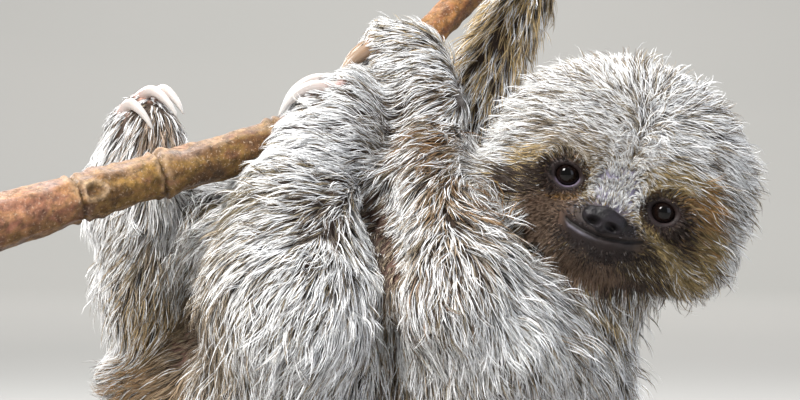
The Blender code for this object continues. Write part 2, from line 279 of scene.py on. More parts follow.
def makeFloor():
    # one sheet that curves up into its own backdrop, far enough off to walk behind the model
    near, rise, radius, top = view["sweep"]
    curve = np.linspace(0.1, math.pi / 2, 12)
    profile = [(near, 0.0), (rise, 0.0)]
    profile += [(rise + radius * math.sin(a), radius - radius * math.cos(a)) for a in curve]
    profile += [(rise + radius, top)]
    sheet = bmesh.new()
    left, right = ([sheet.verts.new((x, y, z)) for y, z in profile] for x in (near, -near))
    for i in range(len(profile) - 1):
        sheet.faces.new((left[i], right[i], right[i + 1], left[i + 1]))
    mesh = meshFrom(sheet, "floor")
    mesh.shade_smooth()
    # matt emulsion rolled on a smooth board: no shine, and tones that drift a little
    paint, tree, shader = newMaterial("mattStudioPaint", {"Roughness": 0.85})
    cloud = addNode(tree, "ShaderNodeTexNoise", {"Scale": perMetre(view["floorCloud"]), "Detail": 3.0})
    stops = [(0.3, view["floor"][0]), (0.7, view["floor"][1])]
    plug(tree, shader, {"Base Color": addNode(tree, "ShaderNodeValToRGB", {"Fac": cloud}, stops)})
    mesh.materials.append(paint)
    addObject("floor", mesh)


def makeStage():
    scene = bpy.context.scene
    lens = bpy.data.cameras.new("camera")
    lens.lens = view["lens"]
    lens.sensor_width = 36
    lens.clip_start, lens.clip_end = 0.01, 20
    camera = addObject("camera", lens)
    camera.location = view["camera"]
    camera.rotation_euler = (math.pi / 2, 0, 0)
    scene.camera = camera
    scene.view_settings.view_transform = "Standard"
    for name, (place, aim, size, watts, colour) in lamps.items():
        light = bpy.data.lights.new(name, "AREA")
        light.size = size
        light.energy = watts
        light.color = linear(colour)[:3]
        lamp = addObject(name, light)
        lamp.location = place
        lamp.rotation_euler = (Vector(aim) - Vector(place)).to_track_quat("-Z", "Y").to_euler()
    world = bpy.data.worlds.new("studio")
    world.use_nodes = True
    sky = {"Color": linear(view["sky"]), "Strength": view["skyStrength"]}
    plug(world.node_tree, world.node_tree.nodes["Background"], sky)
    scene.world = world
    makeFloor()
    print("stage set")


# the head's own frame, in mm: side (its left), up, forward
head = {
    "turn": 4.2,  # degrees, to its right
    "eyeForward": 30.2,
    "eyeRadius": 4.9,
    "eyeSide": 17.0,  # from the middle of the face to the middle of each eye's opening
    "opening": (4.1, 3.1, 3.8),  # half width, height above and height below, between the lids
    # the line of the lips
    "mouth": [
        (-12.0, -13.4), (-10.4, -14.2), (-5.6, -15.1), (0.0, -15.4), (3.0, -15.1), (9.1, -13.8), (14.3, -11.7),
    ],
    "parting": ((1.5, 13.5, 36.0), (1.0, 27.0, 31.0)),  # both ends of the crown's parting
    "hang": 0.22,  # how far the head's hair also hangs down
}


def middleOf(node):
    low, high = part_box(node)
    return np.array((low + high) / 2) / mm


def headFrame():
    left, right = middleOf("eye_left"), middleOf("eye_right")
    side = unit(left - right)
    turn = math.radians(-head["turn"])
    forward = np.array((math.sin(turn), -math.cos(turn), 0.0))
    forward = unit(forward - dot(forward, side) * side)
    up = np.cross(forward, side)
    return (left + right) / 2 - forward * head["eyeForward"], np.array((side, up, forward))


headCentre, headAxes = headFrame()
eyeSide = head["eyeSide"]


def toHead(points):
    return (points - headCentre) @ headAxes.T


def fromHead(local):
    return local @ headAxes + headCentre


# markings, the same for the skin and the coat
hair = {
    "white": "#F8F9FA",
    "cream": "#E0DFDD",
    "tan": "#A0917C",
    "olive": "#83775A",
    "gold": "#A08A5C",
    "brown": "#3D2F25",
    "grey": "#7C7880",
    "orange": "#9B7444",
    "mask": "#2E201A",
    "plush": "#8E7663",
    "lipHair": "#2C2320",
    "fold": "#6E5A4B",
    "foldHair": "#9C8875",
    "umber": "#7B5C49",
    "straw": "#BCA272",
}
skinTones = {
    "under": "#3E3026",  # below the long coat
    "belly": "#8A6A5B",
    "fold": "#6F5247",
    "face": "#6B563F",
    "mask": "#33231E",
    "muzzle": "#241B1A",
    # the bridge's lavender-grey is partly the skin's own colour and partly a painted bluish sheen
    "bridge": "#8D889C",
    "plush": "#6F5849",
    # painted highlight on the lower lip
    "lip": "#8A8796",
    # painted shade in the groove between the lips
    "betweenLips": "#15100F",
    "lid": "#1F1210",
    # painted highlight on the lower lids' wet rim
    "lowerLid": "#9A8CA6",
    "clawRoot": "#B08A7A",
}

# face patches in the head's frame, markings and some painted shade: centre, half sizes, tilt in degrees,
# skin tone, hair tone, hair strength
patches = {
    "cheeks": ((0.0, -10.0), (34.0, 20.0), 0, "face", "gold", 0.5),
    "cheekLeft": ((22.0, -15.0), (12.0, 11.0), -30, "face", "gold", 0.6),
    "shadeLeft": ((17.0, -19.0), (10.0, 6.0), -35, "face", "brown", 0.6),
    # painted shade: darker brown hair along the underside of the jaw
    "jaw": ((4.0, -28.5), (30.0, 7.5), 0, "face", "brown", 0.8),
    "browRight": ((-17.0, 9.0), (13.0, 7.0), 8, "face", "tan", 0.35),
    "browLeft": ((18.5, 10.0), (12.5, 7.0), -12, "face", "gold", 0.6),
    "strawRight": ((-27.5, 1.0), (8.0, 4.6), 48, "face", "straw", 0.5),
    "orangeLeft": ((27.0, 1.5), (7.0, 11.5), 12, "face", "orange", 0.7),
    "goldLeft": ((32.5, -5.0), (6.0, 8.0), 12, "face", "gold", 0.55),
    "plushRight": ((-17.5, -14.0), (9.5, 11.0), 0, "plush", "plush", 1.0),
    "chin": ((-2.0, -25.5), (16.0, 4.5), 0, "plush", "plush", 0.9),
    # painted shadow: dark skin and brown hair in the gap under the chin
    "underChin": ((14.8, -26.6), (7.5, 2.7), 14, "mask", "brown", 0.95),
    "maskRight": ((-19.4, -1.1), (7.6, 6.5), 10, "mask", "mask", 0.95),
    "maskLeft": ((19.2, -2.2), (8.1, 6.8), -25, "mask", "mask", 0.95),
    "streakRight": ((-28.5, -7.0), (8.5, 4.6), 25, "mask", "brown", 0.8),
    "streakLeft": ((24.5, -6.5), (6.5, 4.2), -48, "mask", "brown", 0.6),
    "creaseRight": ((-14.9, -6.8), (5.2, 1.1), 15, "face", "orange", 0.9),
    "creaseLeft": ((15.6, -7.0), (4.0, 1.1), -14, "face", "gold", 0.9),
    "muzzle": ((0.5, -15.5), (15.5, 8.6), 0, "muzzle", "lipHair", 1.0),
    # its skin tone is partly a painted bluish sheen
    "bridge": ((0.6, 1.0), (8.0, 8.5), 0, "bridge", "white", 0.75),
    "noseSides": ((0.0, -9.5), (11.0, 4.6), 0, "muzzle", "grey", 0.5),
}


def patchShare(local, name, soft=0.35):
    (side, up), (wide, high), tilt, *_ = patches[name]
    a = math.radians(tilt)
    x, y = local[:, 0] - side, local[:, 1] - up
    x, y = x * math.cos(a) + y * math.sin(a), -x * math.sin(a) + y * math.cos(a)
    q = np.hypot(x / wide, y / high) + 0.1 * waves(local, 7.0, 5)
    return smooth(1 + soft, 1 - soft, q) * smooth(6, 16, local[:, 2])


def eyeDistance(local):
    # 1 at the edge of the lids' opening, which is a little pointed at its corners
    wide, above, below = head["opening"]
    x = np.abs(np.abs(local[:, 0]) - eyeSide) / wide
    y = np.abs(local[:, 1]) / np.where(local[:, 1] > 0, above, below)
    return np.where(local[:, 2] > 15, np.sqrt(x**1.75 + y**2), 99.0)


def mouthDistance(local):
    # distance from the line of the lips, and how far below it a point is, in mm
    line = np.array(head["mouth"])
    up = np.interp(local[:, 0], line[:, 0], line[:, 1])
    beyond = np.maximum(line[0, 0] - local[:, 0], 0) + np.maximum(local[:, 0] - line[-1, 0], 0)
    drop = up - local[:, 1]
    return np.where(local[:, 2] > 15, np.hypot(drop, beyond * 1.5), 99.0), drop


def faceSpread(local):
    # 0 in the middle of the face, 1 at its edge where the long coat starts
    up = local[:, 1] + 7
    q = np.hypot(local[:, 0] / 27, up / np.where(up > 0, 23, 19))
    return np.where(local[:, 2] > 8, q, 3.0)


subparts = frame["record"]["subparts"]
fleshNodes = [part["node"] for part in subparts if part["material_slot"] in ("coat", "face")]

# hair length, coat depth over the skin, both in mm, and the share of pale hair
coatOf = {
    "hand": (12.0, 2.0, 0.6),
    "forearm": (15.0, 3.8, 0.58),
    "upper_arm": (17.0, 4.8, 0.58),
    "foot": (13.0, 2.0, 0.8),
    "shank": (16.0, 4.0, 0.6),
    "thigh": (18.0, 5.0, 0.55),
    "trunk": (19.0, 6.0, 0.45),
    "neck": (15.0, 5.0, 0.4),
    "tail": (13.0, 2.2, 0.75),
    "head": (14.5, 3.5, 0.4),
}

# the lie of the coat: a place in mm, then the way the hair runs there; a limb's guides act on that limb only
flows = {
    "legleft": [
        (-20, -14, 190, -1, -0.1, 0.1), (-5, -12, 178, -0.9, -0.1, 0.35), (-8, -16, 164, -0.95, -0.1, 0.1),
        (-24, -30, 168, -1, 0, -0.1), (-20, -38, 154, -1, 0, -0.12), (-46, -32, 154, -1, 0, -0.05),
        (-56, -34, 144, -0.8, 0, -0.5), (-18, -46, 145, -0.5, 0, -0.85), (-15, -44, 138, 0.15, 0, -1),
        (-11, -46, 126, -0.1, 0, -1), (-10, -50, 112, -0.2, 0, -1), (-33, -62, 137, -0.85, 0, -0.5),
        (-46, -60, 130, -0.65, 0, -0.8), (-30, -68, 117, -0.45, 0, -0.9), (-16, -60, 117, -0.3, 0, -0.95),
        (-56, -52, 120, -0.15, 0, -1), (-62, -42, 106, 0.05, 0, -1), (-24, -64, 104, -0.7, 0, -0.72),
        (-10, -52, 92, -0.3, 0, -0.95), (-50, -56, 92, -0.1, 0, -1), (-30, -60, 84, -0.45, 0, -0.9),
        (-30, 10, 140, -0.5, 0.1, -0.9),
    ],
    "armleft": [
        (0, 0, 212, -1, -0.1, -0.15), (-6, 0, 196, -0.95, 0, -0.3), (12, -5, 192, -0.95, 0, -0.25),
        (2, -16, 178, -0.85, 0, -0.5), (16, -20, 170, -0.8, 0, -0.6), (20, -26, 158, -0.6, 0, -0.8),
        (-1, -34, 152, 0.0, 0, -1), (0, -48, 139, 0.1, 0, -1), (12, -52, 144, -0.3, 0, -0.95),
        (18, -54, 142, -0.1, 0, -1), (29, -46, 148, 0.45, -0.25, 0.85), (33, -47, 139, 0.8, -0.3, 0.5),
        (39, -48, 129, 1.0, -0.2, -0.1), (2, -54, 126, 0.12, 0, -1), (3, -54, 112, 0.2, 0, -1),
        (18, -66, 116, 0.05, 0, -1), (38, -64, 114, 0.45, 0, -0.9), (54, -50, 112, 0.8, 0, -0.5),
        (14, -62, 94, 0.0, 0, -1), (34, -60, 92, 0.2, 0, -1), (50, -46, 90, 0.4, 0, -0.9),
        (10, 10, 165, -0.3, 0.3, -0.9),
    ],
    "legright": [
        (-100, -12, 168, -0.55, 0, -0.85), (-82, -14, 160, 0.1, 0, -1), (-92, -16, 148, -0.3, 0, -0.95),
        (-110, -5, 138, -0.75, -0.1, -0.65), (-100, -8, 114, -0.4, 0, -0.9), (-85, -8, 108, -0.1, 0, -1),
        (-68, -5, 126, -0.55, 0, -0.8), (-66, -5, 100, 0.05, 0, -1), (-80, -5, 88, -0.05, 0, -1),
        (-85, 40, 110, -0.3, 0.2, -1),
    ],
    "armright": [
        (62, 66, 276, -0.1, -0.9, 0.1), (62, 85, 268, -0.1, 0.1, -1), (54, 75, 240, -0.4, -0.1, -0.9),
        (30, 63, 190, -0.35, 0, -1), (38, 52, 150, -0.05, 0, -1),
    ],
    "torso": [
        (0, -40, 110, -0.05, -0.3, -1), (0, 65, 100, -0.05, 0.3, -1), (-30, 5, 135, -0.1, -0.9, -0.3),
        (20, 8, 145, 0.1, -0.9, -0.3), (0, 12, 36, -0.9, 0, -0.25), (-60, 3, 40, -0.85, 0, -0.45),
        (45, 8, 50, -0.4, 0, -0.9), (-95, 3, 86, -0.95, -0.05, -0.3), (75, -35, 112, 0.25, -0.1, -1),
        (60, -38, 100, 0.15, 0, -1), (85, 25, 110, 0.2, 0.2, -1),
    ],
}


def limbOf(node):
    if node == "head":
        return "head"
    if node in ("trunk", "neck", "tail"):
        return "torso"
    segment, side = node.rsplit("_", 1)
    return ("arm" if segment in ("upper_arm", "forearm", "hand") else "leg") + side


def ownersOf(points):
    # which flesh node each point is nearest to
    places, faces, owner = [], [], []
    for index, name in enumerate(fleshNodes):
        mesh = frame["nodes"][name].data
        start = len(places)
        places += [vertex.co.copy() for vertex in mesh.vertices]
        faces += [[start + i for i in face.vertices] for face in mesh.polygons]
        owner += [index] * len(mesh.polygons)
    tree = BVHTree.FromPolygons(places, faces)
    return np.array([owner[tree.find_nearest(Vector(p) * mm)[2]] for p in points])


def blurred(values, edges, rounds):
    count = np.bincount(edges.ravel(), minlength=len(values))
    flat = values.reshape(len(values), -1)
    ends = np.concatenate((edges[:, 0], edges[:, 1]))
    starts = np.concatenate((edges[:, 1], edges[:, 0]))
    for _ in range(rounds):
        around = [np.bincount(ends, flat[starts, c], len(flat)) for c in range(flat.shape[1])]
        flat = (flat + np.stack(around, 1)) / (1 + count)[:, None]
    return flat.reshape(values.shape)


def headFlowAt(local):
    # away from the parting, outwards from the nose below the eyes, and away from each eye
    low, high = np.array(head["parting"])
    share = np.clip((local[:, 1] - low[1]) / (high[1] - low[1]), 0, 1)
    away = unit(local - mix(low, high, share))
    fromNose = unit(local - np.array((0, -9.0, 34.0)))
    way = unit(mix(away, fromNose, smooth(4, -8, local[:, 1]) * smooth(5, 20, local[:, 2])))
    bridge = smooth(9, 3, np.abs(local[:, 0])) * smooth(16, 6, local[:, 1]) * smooth(-9, -3, local[:, 1])
    way = unit(mix(way, np.array((0, 1.0, 0.2)), bridge * smooth(10, 25, local[:, 2])))
    for sign in (-1, 1):
        fromEye = local - np.array((sign * eyeSide, 0, 30.0))
        near = smooth(11, 6, np.linalg.norm(fromEye[:, :2], axis=1)) * smooth(10, 20, local[:, 2])
        way = unit(mix(way, unit(fromEye * np.array((1, 1, 0.2))), near))
    return way


def flowAt(points, limbs):
    way = np.zeros_like(points)
    reach = 15.0  # of each guide, in mm
    for limb, rows in flows.items():
        chosen = limbs == limb
        here = points[chosen]
        total = np.zeros_like(here)
        for row in np.array(rows, float):
            near = np.exp(-(((here - row[:3]) ** 2).sum(1)) / reach**2) + 1e-9
            total += near[:, None] * unit(row[3:])
        way[chosen] = unit(total)
    chosen = limbs == "head"
    local = toHead(points[chosen])
    hang = smooth(0.6, 1.6, faceSpread(local)) * head["hang"]
    way[chosen] = unit(headFlowAt(local) @ headAxes + hang[:, None] * np.array((0, 0, -1.0)))
    return way


def walked(shape, start):
    # shortest way along the edges from one vertex to every other, in mm
    far = np.full(len(shape.verts), np.inf)
    far[start] = 0
    queue = [(0.0, start)]
    while queue:
        here, index = heapq.heappop(queue)
        if here <= far[index]:
            for edge in shape.verts[index].link_edges:
                other = edge.other_vert(shape.verts[index]).index
                there = here + edge.calc_length() / mm
                if there < far[other] - 1e-6:
                    far[other] = there
                    heapq.heappush(queue, (there, other))
    return far


def clawLine(node):
    # a claw's centreline from its root, which is the wider end, to its tip
    shape = shapeOf(joined([node]))
    shape.verts.ensure_lookup_table()
    points = np.array([vertex.co for vertex in shape.verts]) / mm
    one = int(np.argmax(walked(shape, 0)))
    far = walked(shape, one)
    other = int(np.argmax(far))
    widths = [np.ptp(points[distance(points, points[end]) < 3.5], axis=0).max() for end in (one, other)]
    if widths[0] < widths[1]:
        far = walked(shape, other)
    shape.free()
    rows = []
    for place in np.linspace(0.8, far.max() - 0.4, 9):
        weight = bell(far, 1.1, place)
        rows.append((points * weight[:, None]).sum(0) / weight.sum())
    return np.array(rows)


claws = {node: clawLine(node) for node in frame["nodes"] if node.startswith("claw_")}


def endOf(node):
    # claw_foot_left_2 grows on foot_left
    return node[5:-2]


# the perch's centreline and its thickness, from slices of its solid
slices = {"count": 70, "margin": 4, "reach": 7}  # margin at each end and half a slice, in mm
perchPoints = pointsOf(frame["nodes"]["perch"].data)


def perchLine():
    margin = slices["margin"]
    at = np.linspace(perchPoints[:, 0].min() + margin, perchPoints[:, 0].max() - margin, slices["count"])
    rows = []
    for x in at:
        near = perchPoints[np.abs(perchPoints[:, 0] - x) < slices["reach"]]
        if len(near) > 6:
            rows.append(((near.min(0) + near.max(0)) / 2))
    line = np.array(rows)
    line[:, 0] = at[: len(line)]
    return evenOut(line, 6)


perchAxis = perchLine()
perchWay = unit(np.gradient(perchAxis, axis=0))


def outOfPerch(points):
    # nearest place on the branch's centreline, and the way straight out of it
    nearest, batch = np.zeros(len(points), int), 20000
    for start in range(0, len(points), batch):
        some = points[start : start + batch]
        nearest[start : start + batch] = np.argmin(((some[:, None] - perchAxis[None]) ** 2).sum(2), 1)
    out = points - perchAxis[nearest]
    out = out - dot(out, perchWay[nearest])[:, None] * perchWay[nearest]
    return nearest, out


def perchRadii():
    nearest, out = outOfPerch(perchPoints)
    far = np.linalg.norm(out, axis=1)
    return np.array([np.median(far[np.abs(nearest - i) <= 4]) + 0.2 for i in range(len(perchAxis))])


perchRadius = perchRadii()


def perchClear(points):
    nearest, out = outOfPerch(points)
    return np.linalg.norm(out, axis=1) - perchRadius[nearest], unit(out)


# the skin: one surface under the whole coat
skin = {
    "voxel": 1.9,
    "smoothing": 9,
    "digit": 3.3,  # radius of the swelling that each claw grows from
    # share of a claw's length that the digit's hairy skin covers, and the hair's length over it
    "sheath": {"hand_left": 0.2, "foot_left": 0.5, "foot_right": 0.27, "hand_right": 0.3},
    "sheathHair": {"hand_left": 6.0, "foot_left": 7.0, "foot_right": 6.0, "hand_right": 8.0},
    "finer": ((36, -31, 15), (27.5, -24, 9)),  # half width, low and high edge of the face's finer cells
    "blotch": 3.0,  # sizes of the hide's patterns, in mm
    "pore": 0.5,
    "wrinkle": 1.1,
}

# soft belly and groin that show between the limbs: place and radius in mm
bridges = [
    ((-7, -14, 156), 11.0),
    ((-7, -10, 144), 15.0),
    ((-6, -8, 130), 17.0),
    ((-70, 15, 142), 15.0),
    ((-58, 13, 141), 15.0),
    ((-62, 0, 130), 14.0),
    ((-52, -8, 136), 13.0),
    ((-60, 23, 149), 13.0),
    ((-33, -11, 183), 5.5),
    ((-28, -13, 180), 7.0),
]

# deep folds where one limb lies against another: the line each one follows, its reach, how much deeper the
# skin lies in it, in mm, how dark the coat is there, partly darker hair and partly painted shade, and how bare
folds = [
    (((-7, -26, 153), (-7, -29, 148)), 5.5, 4.5, 0.85, 0.9),
    (((-7, -29, 148), (-6, -34, 143), (-5, -39, 138), (-4, -45, 132), (-3, -50, 127)), 8.0, 6.0, 0.9, 0.9),
    (
        ((-3, -50, 127), (-3, -54, 119), (-3, -52, 112), (-4, -47, 105), (-2, -44, 96), (0, -44, 84)),
        6.2, 4.5, 0.4, 0.1,
    ),
    (((-72, -14, 114), (-73, -14, 106), (-75, -14, 98)), 9.0, 3.5, 0.95, 0.6),
    (((60, -56, 129), (68, -58, 125.5), (76, -58, 122.5), (84, -55, 120)), 6.5, 2.5, 0.75, 0.4),
]


def foldsAt(points, wider=1.0):
    # 1 at the bottom of a fold and 0 away from it, how much deeper the skin lies, in mm, and how bare it is
    most = np.zeros((3, len(points)))
    for line, reach, inset, dark, bald in folds:
        middle = onLine(np.array(line, float), np.linspace(0, 1, 6 * len(line)))
        away = (points[:, None] - middle[None]) * np.array((1, 0.35, 1))
        near = smooth(reach * wider, reach * wider * 0.4, np.sqrt((away**2).sum(2).min(1)))
        most = np.maximum(most, near * np.array((dark, inset, bald))[:, None])
    return most


def outerForm():
    # the coat's outline as one surface, with a swelling for each digit
    shape = shapeOf(joined(fleshNodes, 0.6))
    balls = list(bridges)
    for node, line in claws.items():
        covered = skin["sheath"][endOf(node)]
        way = unit(line[1] - line[0])
        balls += [(line[0] - way * back, skin["digit"] * size) for back, size in ((5, 1.25), (2, 1.1))]
        for share in np.arange(0, covered + 0.01, 0.1):
            balls.append((onLine(line, share), skin["digit"] * mix(1.0, 0.72, share / covered)))
    for place, radius in balls:
        spot = Matrix.Translation(Vector(place) * mm)
        bmesh.ops.create_icosphere(shape, subdivisions=2, radius=radius * mm, matrix=spot)
    return remeshed(meshFrom(shape, "form"), skin["voxel"], skin["smoothing"])


def headDepth(local):
    # how deep the skin lies under the hair on the head
    muzzle = smooth(1.25, 0.85, np.hypot(local[:, 0] / 17, (local[:, 1] + 12) / 12))
    muzzle = muzzle * smooth(10, 20, local[:, 2])
    depth = mix(1.9, coatOf["head"][1], smooth(0.7, 1.5, faceSpread(local)))
    return mix(depth, sculpt["muzzleCoat"], muzzle)


# hair length over the face, in mm: by the distance from its middle, then on the patches of plush, by the eyes
# and on the lips
faceHair = {
    "spread": ([0, 0.45, 0.7, 0.95, 1.2, 1.6], [2.6, 3.0, 4.4, 7.5, 11.0, coatOf["head"][0]]),
    "plush": 1.9,
    "lids": 1.4,
    "lips": 0.8,
}


def headLength(local):
    long = np.interp(faceSpread(local), *faceHair["spread"])
    long = mix(long, faceHair["plush"], patchShare(local, "plushRight", 0.5))
    masks = patchShare(local, "maskRight", 0.4) + patchShare(local, "maskLeft", 0.4)
    long = mix(long, faceHair["plush"], masks)
    long = mix(long, faceHair["lids"], smooth(2.6, 1.4, eyeDistance(local)))
    return mix(long, faceHair["lips"], patchShare(local, "muzzle", 0.2) * smooth(-4.5, -7.5, local[:, 1]))


def coatData(points, edges):
    # for each point of the skin: its limb, and its hair's length, depth, share of pale hair and lie
    owners = ownersOf(points)
    limbs = np.array([limbOf(name) for name in fleshNodes])[owners]
    kinds = [name if name in coatOf else name.rsplit("_", 1)[0] for name in fleshNodes]
    table = np.array([coatOf[kind] for kind in kinds])[owners]
    isHead = limbs == "head"
    local = toHead(points[isHead])
    table[isHead, 0] = headLength(local)
    table[isHead, 1] = headDepth(local)
    inFold, _, bare = foldsAt(points)
    table[:, 0] *= 1 - (0.25 * inFold + 0.55 * bare) * (1 - isHead)
    table[:, 1] = mix(table[:, 1], 1.6, inFold * (1 - isHead))
    for node, line in claws.items():
        spots = onLine(line, np.linspace(0, skin["sheath"][endOf(node)], 5))
        gap = np.sqrt(((points[:, None] - spots[None]) ** 2).sum(2).min(1))
        near = smooth(10, 4.0, gap)
        table[:, 1] = mix(table[:, 1], 0.7, near)
        table[:, 0] = mix(table[:, 0], skin["sheathHair"][endOf(node)], near)
    table = np.where(isHead[:, None], blurred(table, edges, 2), blurred(table, edges, 9))
    flow = unit(blurred(flowAt(points, limbs), edges, 7))
    return {"limb": limbs, "length": table[:, 0], "depth": table[:, 1], "pale": table[:, 2], "flow": flow}


def splitFace(mesh):
    # finer cells on the face, then finer still round the eyes, nose and mouth
    shape = shapeOf(mesh)
    for wide, low, high in skin["finer"]:
        chosen = []
        for face in shape.faces:
            middle = toHead(np.array(face.calc_center_median()) / mm)
            if abs(middle[0]) < wide and low < middle[1] < high and middle[2] > 14:
                chosen.append(face)
        edges = list({edge for face in chosen for edge in face.edges})
        bmesh.ops.subdivide_edges(shape, edges=edges, cuts=1, use_grid_fill=True)
    shape.normal_update()
    shape.to_mesh(mesh)
    shape.free()


# how the face is modelled on the skin, in mm
sculpt = {
    "muzzle": (17.0, 12.5, 12.0, 26.0, 15.5),  # half width and height, how low, where it starts, how far out
    "muzzleCoat": 0.9,  # depth of its short hair
    "lowerLip": (0.45, 1.3, 2.0),  # how far out, how thick, how far below the line of the lips
    "upperLip": (0.3, 1.5, -1.9),
    "lipGroove": (1.25, 0.62),  # depth and width
    "philtrum": (0.4, 0.45),
    "lidCrease": 0.35,
    # height of the lids over the eyeball, by the distance from the opening's middle
    "lids": ([0.0, 0.93, 1.0, 1.1, 1.25, 1.5, 1.9], [-2.5, -2.5, 0.15, 0.62, 0.8, 0.7, 0.55]),
}


def sculptMuzzle(local, front):
    # fill behind the nose pad, and give the muzzle its round front
    side, up = local[:, 0], local[:, 1]
    wide, high, low, start, out = sculpt["muzzle"]
    rest = 1 - (side / wide) ** 2 - ((up + low) / high) ** 2
    muzzle = start + out * np.sqrt(np.maximum(rest, 0)) - sculpt["muzzleCoat"]
    underNose = smooth(1.25, 0.8, np.hypot(side / 9.5, (up + 8.8) / 6.5)) * front
    local[:, 2] = mix(local[:, 2], np.maximum(local[:, 2], muzzle), underNose)

    # lips: a full lower lip, a soft upper lip and the groove between them
    apart, drop = mouthDistance(local)
    along = smooth(17, 12, np.abs(side))
    for part in ("lowerLip", "upperLip"):
        out, thick, below = sculpt[part]
        local[:, 2] += front * along * out * bell(drop, thick, below)
    depth, width = sculpt["lipGroove"]
    local[:, 2] -= front * depth * bell(apart, width)
    depth, width = sculpt["philtrum"]
    local[:, 2] -= front * depth * (bell(side, width) * smooth(-16.5, -15.5, up) * smooth(-12.5, -13.5, up))


def sculptLids(local):
    # each rim stands just off the eyeball, with a crease above and a soft bag below
    side, up = local[:, 0], local[:, 1]  # both follow the pull below
    q = eyeDistance(local)
    pull = smooth(1.3, 1.06, q) * smooth(0.72, 0.9, q) * 0.75
    scale = 1 - pull * (1 - 1 / np.maximum(q, 0.1))
    centreSide = np.sign(side) * eyeSide
    local[:, 0] = centreSide + (side - centreSide) * scale
    local[:, 1] = up * scale
    q = q * scale
    turn = np.arctan2(np.abs(up), np.abs(np.abs(side) - eyeSide))
    wide, above, below = head["opening"]
    reach = np.hypot(wide * np.cos(turn), np.where(up > 0, above, below) * np.sin(turn))
    rim = head["eyeForward"] + np.sqrt(np.maximum(head["eyeRadius"] ** 2 - reach**2, 4.0))
    lid = np.interp(q, *sculpt["lids"]) + rim
    crease = bell(q, 0.13, 1.72) * mix(0.6, 1.0, smooth(-2, 2, local[:, 1]))
    wrinkles = 0.12 * np.cos((q - 1.3) * 6.28 / 0.36) * smooth(1.2, 1.4, q) * smooth(2.5, 1.8, q)
    lid = lid - sculpt["lidCrease"] * crease + wrinkles
    local[:, 2] = mix(lid, local[:, 2], smooth(1.45, 2.5, q))


def sculptFace(points, edges):
    local = toHead(points)
    front = smooth(13, 18, local[:, 2])
    finest = front * smooth(33, 28, np.abs(local[:, 0]))
    finest = finest * smooth(-30, -25, local[:, 1]) * smooth(15, 10, local[:, 1])
    local = mix(local, blurred(local, edges, 14), finest)
    sculptMuzzle(local, front)
    sculptLids(local)
    return mix(points, fromHead(local), (local[:, 2] > 5).astype(float) * smooth(10, 16, local[:, 2]))


def skinColours(points, data):
    local = toHead(points)
    onHead = data["limb"] == "head"
    tones = {name: rgb(code) for name, code in skinTones.items()}
    colour = np.tile(tones["under"], (len(points), 1))
    colour = mix(colour, tones["belly"], smooth(14, 6, distance(points, (-25, -10, 118))))
    colour = mix(colour, tones["fold"], foldsAt(points)[0] * 0.7)
    colour = mix(colour, tones["face"], smooth(1.3, 0.8, faceSpread(local)) * onHead)
    for name, (*_, tone, _, _) in patches.items():
        colour = mix(colour, tones[tone], patchShare(local, name) * onHead)
    apart, drop = mouthDistance(local)
    # a painted highlight along the lower lip, on the head's right half of the mouth
    lip = bell(drop, 0.5, 1.25) * smooth(-12.5, -10, local[:, 0]) * smooth(2, -7, local[:, 0])
    colour = mix(colour, tones["lip"], lip * 0.36 * (local[:, 2] > 15) * onHead)
    # painted shade in the groove between the lips
    colour = mix(colour, tones["betweenLips"], bell(apart, 0.75) * onHead)
    q = eyeDistance(local)
    colour = mix(colour, tones["lid"], smooth(1.75, 1.25, q) * onHead)
    # a painted highlight on the lower lids' wet rim, strong on the head's right eye and faint on its left
    below = smooth(-0.6, -2.4, local[:, 1] + 0.35 * np.abs(local[:, 0]) - 0.35 * eyeSide)
    rim = bell(q, 0.06, 1.05) * below * mix(0.02, 0.42, (local[:, 0] < 0).astype(float))
    colour = mix(colour, tones["lowerLid"], rim * onHead)
    for node, line in claws.items():
        edge = onLine(line, skin["sheath"][endOf(node)])
        colour = mix(colour, tones["clawRoot"], smooth(4.6, 2.8, distance(points, edge)) * 0.85)
    return colour


def skinMaterial():
    # bare sloth skin: a soft, dry, finely wrinkled hide with a slight oily sheen on the face
    finish = {"Roughness": 0.62, "Specular IOR Level": 0.35}
    finish.update({"Subsurface Weight": 0.06, "Subsurface Radius": (0.0035, 0.0016, 0.0009)})
    made, tree, shader = newMaterial("dryAnimalHide", finish)
    tone = addNode(tree, "ShaderNodeAttribute", attribute_name="tone")
    place = addNode(tree, "ShaderNodeTexCoord").outputs["Object"]
    size = {"Vector": place, "Scale": perMetre(skin["blotch"]), "Detail": 4.0}
    blotch = addNode(tree, "ShaderNodeTexNoise", size)
    span = {"Value": blotch, "From Min": 0.3, "From Max": 0.7, "To Min": 0.72, "To Max": 1.2}
    shade = addNode(tree, "ShaderNodeMapRange", span)
    mixed = addNode(tree, "ShaderNodeVectorMath", {0: tone, 1: shade}, operation="MULTIPLY")
    pores = addNode(tree, "ShaderNodeTexVoronoi", {"Vector": place, "Scale": perMetre(skin["pore"])})
    size = {"Vector": place, "Scale": perMetre(skin["wrinkle"]), "Detail": 5.0, "Distortion": 0.8}
    wrinkles = addNode(tree, "ShaderNodeTexNoise", size)
    height = addNode(tree, "ShaderNodeMath", {0: pores, 1: 0.35, 2: wrinkles}, operation="MULTIPLY_ADD")
    bump = addNode(tree, "ShaderNodeBump", {"Height": height, "Strength": 0.5, "Distance": 0.3 * mm})
    plug(tree, shader, {"Base Color": mixed, "Normal": bump})
    return made


